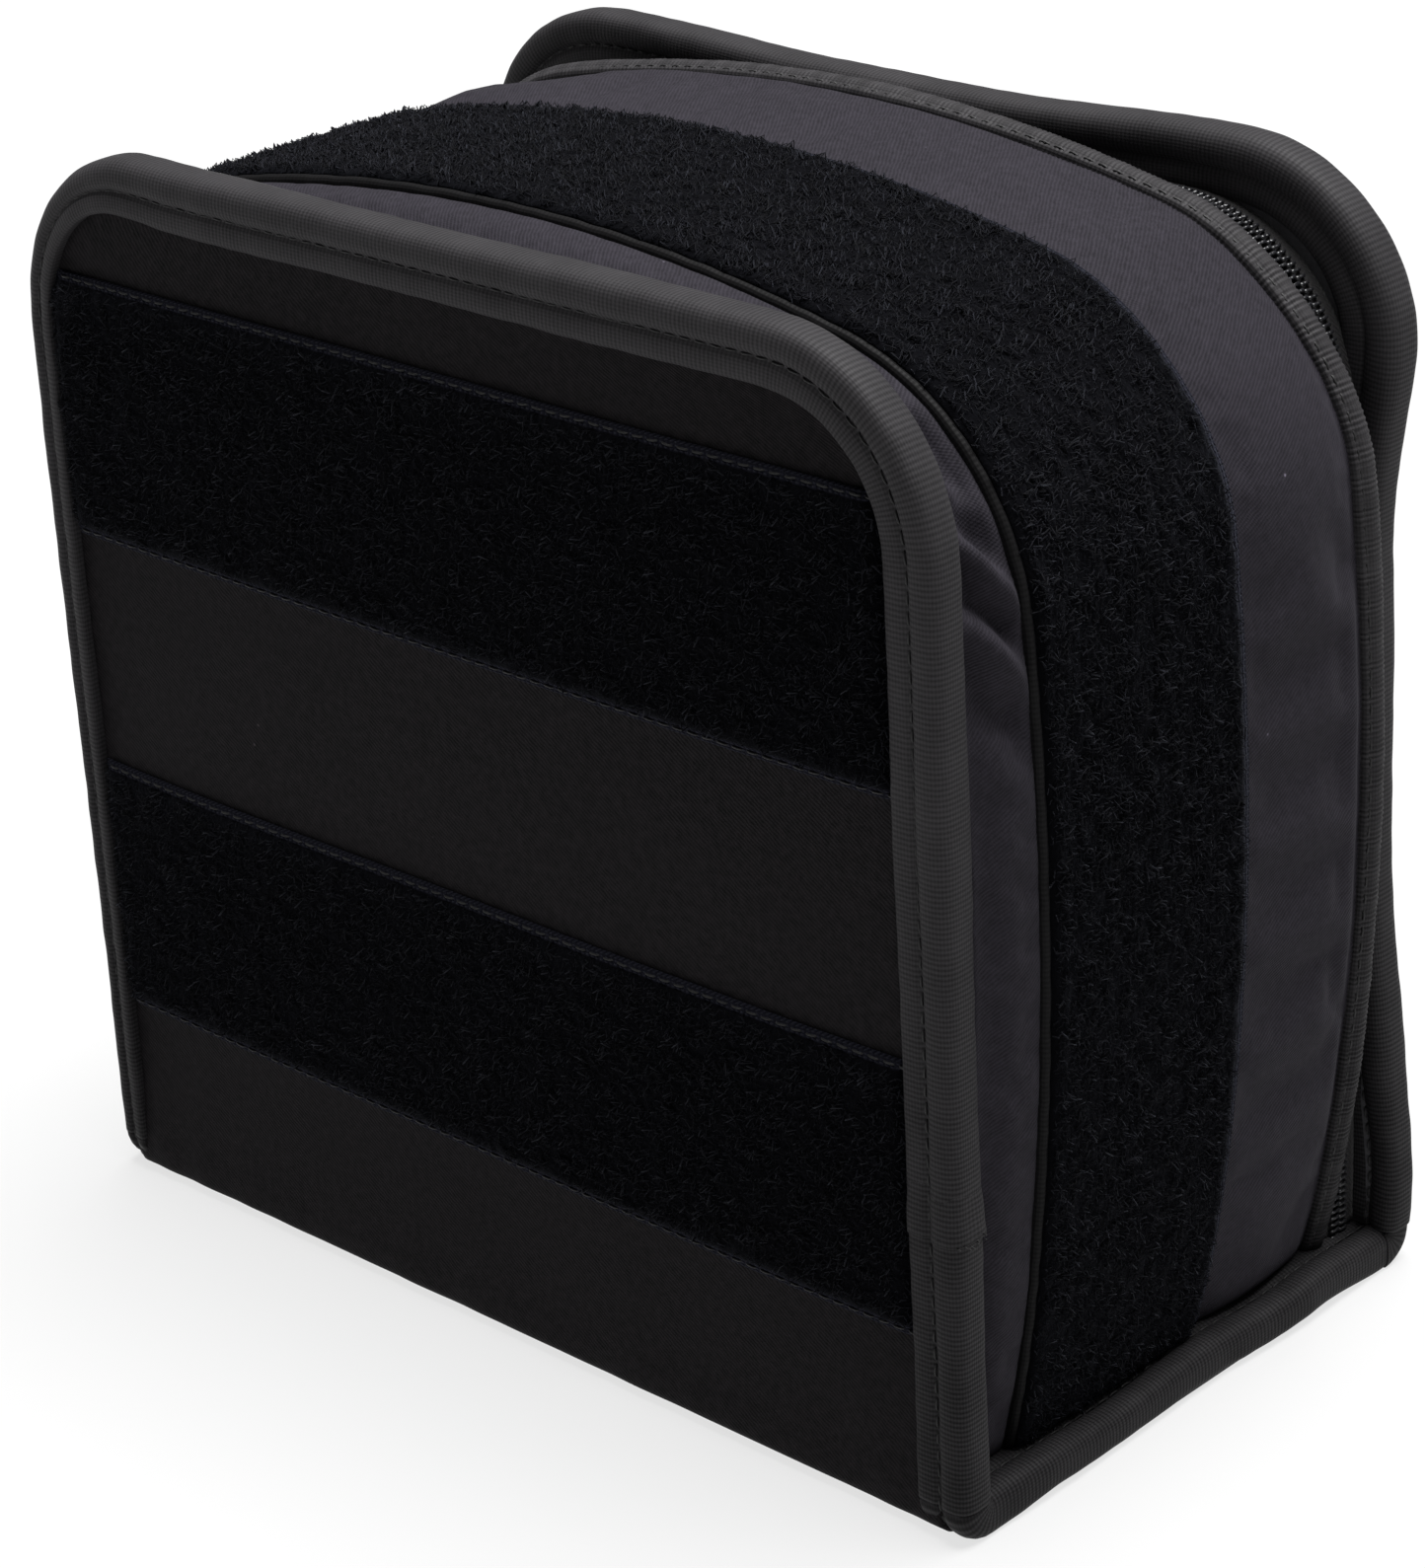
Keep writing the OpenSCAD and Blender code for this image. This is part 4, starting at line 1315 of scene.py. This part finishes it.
class POUCH_OT_gusset(bpy.types.Operator):
    """Build the arch of cloth between the panels: bands, cord, loop tape, lining and rolled binding"""

    bl_idname = "pouch.gusset"
    bl_label = "Gusset"

    def execute(self, context):
        s = SIZES
        edge = Edge("gusset_loop_band", 0.0016)
        fine = Edge("gusset_loop_band", 0.0003)
        field = gusset_field()
        self.band(edge, field, "gusset_front_cloth", s.y_inside - 0.0006, s.y_piping + 0.0004,
                  "gusset_twill", "gusset_front_band", 51)
        self.band(edge, field, "gusset_rear_cloth", s.y_loop_end - 0.003, s.y_roll + 0.001, "gusset_twill",
                  "gusset_cover", 52)
        self.foam(edge, field)
        self.piping(edge, field)
        self.loop_tape(field)
        self.lining(edge)
        self.rear_binding(fine, field)
        return {"FINISHED"}

    @staticmethod
    def band(edge, field, name, y_low, y_high, look, node, seed):
        s = SIZES
        depths = surface_steps(y_low, y_high, 0.0011)
        grid = np.stack([edge.column(y, s.cover + field(edge, y)) for y in depths], 1)
        outward = edge.outward[:, None]
        wrinkle = ripple(grid, 0.02, seed) * 0.28 * MM
        outer = columns_of(grid + outward * wrinkle[..., None])
        cloth = skin(name, outer + columns_of(grid - outward * s.cloth)[::-1], look)
        attach(cloth, "shell", look, node)

    @staticmethod
    def foam(edge, field):
        """The foam under the cloth, which follows its settled shape."""
        s = SIZES
        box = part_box("gusset_foam")
        depths = surface_steps(box[0].y, box[1].y, 0.003)
        under = s.cover - s.cloth - 0.0004
        outer = [edge.column(y, under + np.minimum(field(edge, y), 0.0005)) for y in depths]
        inner = [edge.column(y, s.lining + 0.0001) for y in depths[::-1]]
        attach(skin("gusset_foam_pad", outer + inner, "soft_foam"), "shell", "soft_foam", "gusset_foam")

    @staticmethod
    def piping(edge, field):
        """A raised cord at the loop tape's front edge, with a seam in front of it."""
        s = SIZES
        middle = (s.y_piping + s.y_loop) / 2 + 0.0002
        half, height = 0.0010, 0.0013
        base = s.cover + field(edge, middle)
        turns = np.linspace(0, 2 * math.pi, 14, endpoint=False)
        columns = [edge.column(middle - half * math.cos(a), base + 0.0002 + height * math.sin(a))
                   for a in turns]
        cord = skin("gusset_piping_cord", columns, "piping_cord", handled(53, 0.0001, 0.00008))
        attach(cord, "shell", "piping_cord", "gusset_piping")

    @staticmethod
    def loop_tape(field):
        """The wide loop tape over the arch, with pile on its left, top and right."""
        s = SIZES
        pile = bpy.context.scene.pouch_pile
        fine = Edge("gusset_loop_band", 0.0010)
        depths = surface_steps(s.y_loop, s.y_loop_end, 0.0010)
        columns, mask = [], []
        for y in depths:
            lift = 0.45 + 0.55 * float(ease(s.y_loop_end - y, pile.selvage * 0.7, pile.selvage * 1.5))
            columns.append(fine.column(y, s.cover * (1 - lift) + field(fine, y)))
            mask.append(y - s.y_loop > 0.0003 and s.y_loop_end - y > pile.selvage * 1.3)
        grid = np.stack(columns, 1)
        outward = fine.outward
        tufts = ripple(grid, 0.0022, 13) * 0.22 * MM + ripple(grid, 0.008, 14) * 0.2 * MM
        tufts *= np.array(mask)[None]
        top = columns_of(grid + outward[:, None] * tufts[..., None])
        inner = columns_of(grid - outward[:, None] * 0.0011)[::-1]
        tape = skin("gusset_loop_tape", top + inner, "loop_pile")
        mesh = tape.data
        count = len(depths)
        across_it = np.maximum(depths - s.y_loop, pile.selvage * 1.2)
        across_it = np.concatenate([across_it, across_it[::-1]])
        set_uv(mesh, np.stack(np.broadcast_arrays(fine.along[:, None], across_it[None]), 2))
        on_top = np.concatenate([np.array(mask), np.zeros(count, bool)])
        share = fine.along / fine.length
        parts = (("left", 0, 0.34), ("top", 0.34, 0.66), ("right", 0.66, 1.01))
        for seed, (label, low, high) in enumerate(parts):
            part = (share >= low) & (share < high)
            if "pile" in mesh.attributes:
                mesh.attributes.remove(mesh.attributes["pile"])
            mark_pile(tape, part[:, None] & on_top[None])
            tufts = pile_on(f"gusset_loop_tape_pile_{label}", tape, 60 + seed)
            attach(tufts, "shell", "loop_pile")
        attach(tape, "shell", "loop_pile", "gusset_loop_band")

    @staticmethod
    def lining(edge):
        """The arch's inner cloth, with its foam's soft waves."""
        s = SIZES
        depths = surface_steps(s.y_inside, s.y_roll, 0.004)
        outer = [edge.column(y, s.lining) for y in depths]
        grid = np.stack([edge.column(y, s.lining - s.cloth) for y in depths], 1)
        grid = grid + edge.outward[:, None] * (ripple(grid, 0.03, 55) * 0.5 * MM)[..., None]
        cloth = skin("gusset_lining_cloth", outer + columns_of(grid)[::-1], "lining_cloth")
        attach(cloth, "shell", "lining_cloth", "gusset_lining")

    @staticmethod
    def rolled(pitch):
        """The rolled tape's cross ribs and slow waves."""
        waves = handled(57, 0.00025)

        def relief(along, turn, grid):
            return waves(along, turn, grid) + np.cos(along * 2 * math.pi / pitch / 1.2) * 0.00010

        return relief

    def rear_binding(self, edge, field):
        """The rolled tape at the rear edge, which steps down to the zip's tape."""
        s = SIZES
        cloth = bpy.context.scene.pouch_cloth
        zip_edge = SHARED["zip_edge"]
        near = zip_edge.nearest(edge)
        width = s.y_roll_end - s.y_roll
        level = s.cover + field(edge, s.y_roll)
        columns = []
        for a in np.linspace(math.pi * 1.04, -math.pi * 0.15, 17):
            c, h = math.cos(a), math.sin(a)
            y = s.y_roll + width / 2 + width * 0.5 * math.copysign(abs(c) ** 0.7, c)
            groove = 0.0006 * math.exp(-(((y - s.y_roll - 0.0012) / 0.0005) ** 2))
            rise = 0.0026 * math.copysign(abs(h) ** 0.75, h)
            columns.append(edge.column(y, level - 0.0005 + rise - groove))
        target = zip_edge.points[near] - zip_edge.normals[near] * 0.0014
        down = np.stack([target[:, 0], 0 * near + s.y_roll_end - 0.0004, target[:, 1]], 1)
        last = columns[-1]
        for t in (0.3, 0.62, 1.0):
            columns.append(last * (1 - t) + down * t)
        back = down.copy()
        back[:, 1] = s.y_roll + 0.0004
        columns.append(back)
        tape = skin("gusset_rear_tape", columns, "grosgrain_binding", self.rolled(cloth.binding_rib))
        attach(tape, "shell", "grosgrain_binding", "gusset_rear_binding")
        line = edge.column(s.y_roll + 0.0012, level + 0.0012)
        sewn = stitches("gusset_rear_stitches", line[::4], edge.outward[::4], 58)
        attach(sewn, "shell", "grosgrain_binding")


# ---- zip ----


def tooth_piece():
    """One turn of the coil seen from outside: a bar with a round head, lying across the zip."""
    reach = SIZES.coil
    t = np.linspace(0, 1, 8)
    y = -reach / 2 + t * reach
    z = 0.00045 * np.sin(t * math.pi) ** 0.6 + 0.00005
    points = np.stack([0 * y, y, z], 1)
    swell = 0.80 + 0.42 * hump(t, 0.90, 0.10) + 0.18 * hump(t, 0.08, 0.12)
    return tube("tooth", points, 0.0004, 6, "zip_coil", swell * np.where((t == 0) | (t == 1), 0.55, 1.0))


class POUCH_OT_zip(bpy.types.Operator):
    """Build the zip: two tapes, the coil's teeth, two sliders and their pulls"""

    bl_idname = "pouch.zip"
    bl_label = "Zip"

    def execute(self, context):
        s = SIZES
        edge = Edge("zip_coil_gusset", 0.0008)
        tape_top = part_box("zip_tape_gusset")[1].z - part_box("zip_coil_gusset")[1].z
        thick = 0.0008
        pitch = context.scene.pouch_zip.pitch
        tooth = tooth_piece()
        for side, label, body, shift in ((-1, "gusset", "shell", 0.0), (1, "door", "door", pitch / 2)):
            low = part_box(f"zip_tape_{label}")[0]
            near = s.y_zip + side * 0.0006
            far = s.y_roll + 0.0004 if side < 0 else s.y_door + 0.0002
            keep = edge if side < 0 else self.lifted(edge, low.z)
            wave = 0.00012 * np.sin(keep.along * 2 * math.pi / 0.0011)
            profile = [(near, tape_top - thick / 2), (near + side * 0.0003, tape_top)]
            profile += [(y, tape_top) for y in surface_steps(near + side * 0.001, far, 0.0012)]
            profile += [(far, tape_top - thick), (near + side * 0.0003, tape_top - thick)]
            columns = [keep.column(y, offset + (wave * 0.3 if 1 < k < len(profile) - 2 else 0))
                       for k, (y, offset) in enumerate(profile)]
            tape = skin(f"zip_tape_cloth_{label}", columns, "zip_tape")
            attach(tape, body, "zip_tape", f"zip_tape_{label}")
            middle = s.y_zip + side * s.coil * 0.46
            line = keep.column(middle, tape_top + 0.0002)
            trimmed = self.shifted(line, shift)
            if side > 0:
                tooth.data.transform(Matrix.Rotation(math.pi, 4, "Z"))
            values = {"Pitch": pitch, "Piece": tooth, "Look": LOOKS["zip_coil"], "Wobble": 0.03, "Seed": 70}
            host = guide("zip_line", trimmed, keep.outward)
            teeth = grown(f"zip_teeth_{label}", host, follow_tree(), values)
            attach(teeth, body, "zip_coil", f"zip_coil_{label}")
        bpy.data.objects.remove(tooth)
        for node in ("zip_slider_left", "zip_slider_right", "zip_pull_left", "zip_pull_right"):
            self.rounded(node)
        return {"FINISHED"}

    @staticmethod
    def lifted(edge, z):
        """The part of an outline above a height."""
        kept = Edge.__new__(Edge)
        above = edge.points[:, 1] >= z
        kept.points, kept.normals = edge.points[above], edge.normals[above]
        kept.along = edge.along[above] - edge.along[above][0]
        kept.length = kept.along[-1]
        kept.corner, kept.from_foot = edge.corner[above], edge.from_foot[above]
        return kept

    @staticmethod
    def shifted(line, shift):
        """A line that starts a little further along, with as many points."""
        if not shift:
            return line
        return evenly(line, shift, len(line))

    @staticmethod
    def rounded(node):
        """A metal piece with its edges eased, from the frame's own solid."""
        source = NODES[node]
        mesh = bmesh.new()
        mesh.from_mesh(source.data)
        bmesh.ops.remove_doubles(mesh, verts=mesh.verts, dist=1e-6)
        bmesh.ops.dissolve_limit(mesh, angle_limit=math.radians(2), verts=mesh.verts, edges=mesh.edges)
        sharp = [e for e in mesh.edges if e.is_manifold and e.calc_face_angle(0) > math.radians(35)]
        bmesh.ops.bevel(mesh, geom=sharp, offset=0.00022, segments=2, profile=0.6, affect="EDGES",
                        clamp_overlap=True)
        bmesh.ops.triangulate(mesh, faces=[f for f in mesh.faces if len(f.verts) > 4])
        made = bpy.data.meshes.new(node + "_metal")
        mesh.to_mesh(made)
        mesh.free()
        made.materials.clear()
        made.materials.append(LOOKS["slider_enamel"])
        attach(placed(node + "_metal", made), node.replace("zip_", ""), "slider_enamel", node)


# ---- door ----


def door_bulge(x, z):
    """The door cover's rise, towards +Y."""
    points = space(x, 1.0, z)
    waves = ripple(points, 0.045, 5) * 0.45 * MM
    return crown(x, z) * MM + waves + ripple(points, 0.015, 6) * 0.12 * MM


class POUCH_OT_door(bpy.types.Operator):
    """Build the door: its cover, board, lining and binding"""

    bl_idname = "pouch.door"
    bl_label = "Door"

    def execute(self, context):
        s = SIZES
        edge = Edge("door_binding", 0.00035, door_outline)
        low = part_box("door_cover")[0].z
        top = s.top - COVER_INSET - 0.002

        def face(y, sign, bulge, steps):
            return panel_grid(edge, COVER_INSET, low, top, steps, steps, y, lambda x, z: sign * bulge(x, z))

        cover = slab("door_cover_cloth", face(s.y_back - s.cloth - 0.0003, 1, door_bulge, 121), s.cloth,
                     (0.0, -1.0, 0.0), "shell_twill")
        attach(cover, "door", "shell_twill", "door_cover")
        inner = face(s.y_door + 0.0003, -1, lambda x, z: door_bulge(x, z) * 0.4, 81)
        lining = slab("door_lining_cloth", inner, s.cloth, (0.0, 1.0, 0.0), "lining_cloth")
        attach(lining, "door", "lining_cloth", "door_lining")
        core = face(s.y_door + 0.0018, -1, lambda x, z: 0 * x, 31)
        board = slab("door_board_foam", core, 0.0027, (0.0, 1.0, 0.0), "stiff_foam")
        attach(board, "door", "stiff_foam", "door_board")
        rail = Rail.of_edge(edge, (s.y_door + s.y_back) / 2, 1)
        bind("door_binding_tape", rail, ["door_binding"], "door", 3, sway=0.0006)
        return {"FINISHED"}


# ---- inside ----


class POUCH_OT_inside(bpy.types.Operator):
    """Build the elastic cable loops and the mesh pocket, and dress what stays of the frame"""

    bl_idname = "pouch.inside"
    bl_label = "Inside"

    def execute(self, context):
        for row in ("upper", "lower"):
            self.loops(row)
        self.pocket()
        looks = {m["node"]: m["material_slot"] for m in frame["record"]["subparts"]}
        for node, piece in NODES.items():
            if not piece.hide_render:
                piece.data.materials.clear()
                piece.data.materials.append(LOOKS[looks[node]])
        return {"FINISHED"}

    @staticmethod
    def loops(row):
        """A band of elastic with arched loops sewn to it."""
        low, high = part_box(f"cable_loops_{row}")
        places = [sum(c[0] for c in OPENINGS[f"cable_loop_{row}_{k}"]) / 2 for k in range(1, 5)]
        pitch = places[1] - places[0]
        mouth, band, thick = pitch - 0.008, SIZES.cloth, 0.0012
        rise = high.y - low.y - band
        t = np.linspace(0, 1, 29)
        heights = np.linspace(low.z, high.z, 13)
        pieces = []
        for x0 in places:
            angle = math.pi * t
            x = x0 - np.cos(angle) * mouth / 2
            y = low.y + band * 0.6 + (rise - thick / 2) * np.sin(angle) ** 0.8
            pieces.append((x, y))
        x = np.linspace(low.x, high.x, 120)
        pieces.append((x, low.y + band / 2 + 0 * x))
        made = []
        for number, (x, y) in enumerate(pieces):
            line = np.stack([x, y], 1)
            ahead = unit(np.gradient(line, axis=0))
            out = np.stack([-ahead[:, 1], ahead[:, 0]], 1)
            half = (thick if number < len(places) else band) / 2
            columns = []
            for side in (1, -1):
                for z in (heights if side > 0 else heights[::-1]):
                    rim = min(z - low.z, high.z - z)
                    swell = half * side * (0.55 if rim < 1e-6 else 1.0)
                    moved = line + out * swell
                    columns.append(space(moved[:, 0], moved[:, 1], z))
            made.append(skin(f"cable_loops_{row}_{number}", columns, "elastic_web"))
        joined = join(made, f"cable_loops_{row}_elastic")
        attach(joined, "shell", "elastic_web", f"cable_loops_{row}")

    @staticmethod
    def pocket():
        """A gathered pocket of mesh with an elastic hem, on the door's lining."""
        low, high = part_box("mesh_pocket")
        hem_low, hem_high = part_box("mesh_pocket_hem")
        half, deep = high.x, high.y - low.y
        round_r = 0.006
        t = np.linspace(0, math.pi / 2, 7)
        corner = [(-half + round_r * (1 - math.cos(a)), high.y - deep + round_r * (1 - math.sin(a)))
                  for a in t]
        left = [(-half, y) for y in np.linspace(high.y, corner[0][1], 4)[:-1]]
        path = left + corner
        path = path + [(-x, y) for x, y in path[::-1]]
        path = resample(path, 0.002)

        def line_at(z, extra=0.0):
            share = float(ease(z, low.z, low.z + 0.016))
            sag = 0.0012 * math.sin(math.pi * (z - low.z) / (high.z - low.z))
            depth = (high.y - path[:, 1]) * share
            gather = 0.0004 * np.sin(path[:, 0] * 2 * math.pi / 0.006) * ease(z, hem_low.z - 0.02, hem_low.z)
            y = high.y - depth - (sag + gather) * (depth > deep * 0.6) - extra
            return space(path[:, 0], np.minimum(y, high.y), z)

        rows = surface_steps(low.z, high.z, 0.003)
        front = [line_at(z) for z in rows]
        back = [p + np.array((0.0, 0.0005, 0.0)) for p in front][::-1]
        net = skin("mesh_pocket_net", front + back, "pocket_mesh")
        attach(net, "door", "pocket_mesh", "mesh_pocket")
        rows = surface_steps(hem_low.z, hem_high.z, 0.0012)
        front = [line_at(z, 0.0007) for z in rows]
        back = [line_at(z, -0.0007) for z in rows][::-1]
        hem = skin("mesh_pocket_hem_elastic", front + back, "elastic_web")
        attach(hem, "door", "elastic_web", "mesh_pocket_hem")
        cut = float(np.linalg.norm(np.diff(line_at(high.z), axis=0), axis=1).sum())


def join(pieces, name):
    """Several meshes as one piece."""
    whole = bmesh.new()
    for piece in pieces:
        whole.from_mesh(piece.data)
    mesh = bpy.data.meshes.new(name)
    whole.to_mesh(mesh)
    whole.free()
    for material in pieces[0].data.materials:
        mesh.materials.append(material)
    made = placed(name, mesh)
    for piece in pieces:
        bpy.data.objects.remove(piece)
    return made


# ---- stage ----


class POUCH_OT_stage(bpy.types.Operator):
    """Build the pale floor, the studio light and the camera"""

    bl_idname = "pouch.stage"
    bl_label = "Stage"

    def execute(self, context):
        scene = context.scene
        props = scene.pouch_stage
        scene.view_settings.view_transform = "Standard"
        size = 40.0
        corners = [(-size, -size, 0), (size, -size, 0), (size, size, 0), (-size, size, 0)]
        floor = finish_mesh("floor", np.array(corners, float), [(0, 1, 2, 3)], smooth=False)
        floor.data.materials.append(make_floor("floor_paper"))
        world = bpy.data.worlds.new("studio")
        scene.world = world
        world.use_nodes = True
        world.node_tree.nodes["Background"].inputs["Color"].default_value = (1.0, 1.0, 1.0, 1.0)
        world.node_tree.nodes["Background"].inputs["Strength"].default_value = 0.13
        self.sky("overhead", (0.07, 0.16, 1.0), 40, 8.2)
        self.camera(props)
        return {"FINISHED"}

    @staticmethod
    def sky(name, towards, spread, strength):
        """A wide soft light, as from a large tent above the pouch."""
        light = bpy.data.lights.new(name, "SUN")
        light.angle = math.radians(spread)
        light.energy = strength
        lamp = placed(name, light)
        lamp.rotation_mode = "QUATERNION"
        lamp.rotation_quaternion = Vector(towards).to_track_quat("Z", "Y")

    @staticmethod
    def camera(props):
        az, el, roll = props.azimuth, props.elevation, props.roll
        back = Vector((math.sin(az) * math.cos(el), -math.cos(az) * math.cos(el), math.sin(el)))
        right = Vector((math.cos(az), math.sin(az), 0.0))
        up = back.cross(right)
        side = right * math.cos(roll) + up * math.sin(roll)
        top = up * math.cos(roll) - right * math.sin(roll)
        place = Vector(props.aim) + back * props.distance
        camera = placed("camera", bpy.data.cameras.new("camera"))
        camera.data.lens = props.lens * 1000
        camera.data.sensor_width = 36.0
        turn = Matrix((side, top, back)).transposed().to_4x4()
        camera.matrix_world = Matrix.Translation(place) @ turn
        bpy.context.scene.camera = camera


class POUCH_PT_panel(bpy.types.Panel):
    """The pouch's values and the operators that build it"""

    bl_idname = "POUCH_PT_panel"
    bl_label = "Cable Pouch"
    bl_space_type = "VIEW_3D"
    bl_region_type = "UI"
    bl_category = "Pouch"

    def draw(self, context):
        for name, group in GROUPS.items():
            values = getattr(context.scene, name)
            box = self.layout.box()
            for key in group.__annotations__:
                box.prop(values, key)
        for operator in OPERATORS:
            self.layout.operator(operator.bl_idname)


OPERATORS = (POUCH_OT_stage, POUCH_OT_front_panel, POUCH_OT_front_strips, POUCH_OT_base, POUCH_OT_zip,
             POUCH_OT_gusset, POUCH_OT_door, POUCH_OT_inside)
CLASSES = (*GROUPS.values(), *OPERATORS, POUCH_PT_panel)


def register():
    for cls in CLASSES:
        bpy.utils.register_class(cls)
    for name, group in GROUPS.items():
        setattr(bpy.types.Scene, name, PointerProperty(type=group))


def unregister():
    for name in GROUPS:
        delattr(bpy.types.Scene, name)
    for cls in reversed(CLASSES):
        bpy.utils.unregister_class(cls)


def main():
    register()
    make_materials()
    SHARED["zip_edge"] = Edge("zip_coil_gusset", 0.0008)
    for operator in OPERATORS:
        group, name = operator.bl_idname.split(".")
        getattr(getattr(bpy.ops, group), name)()


if __name__ == "__main__":
    main()
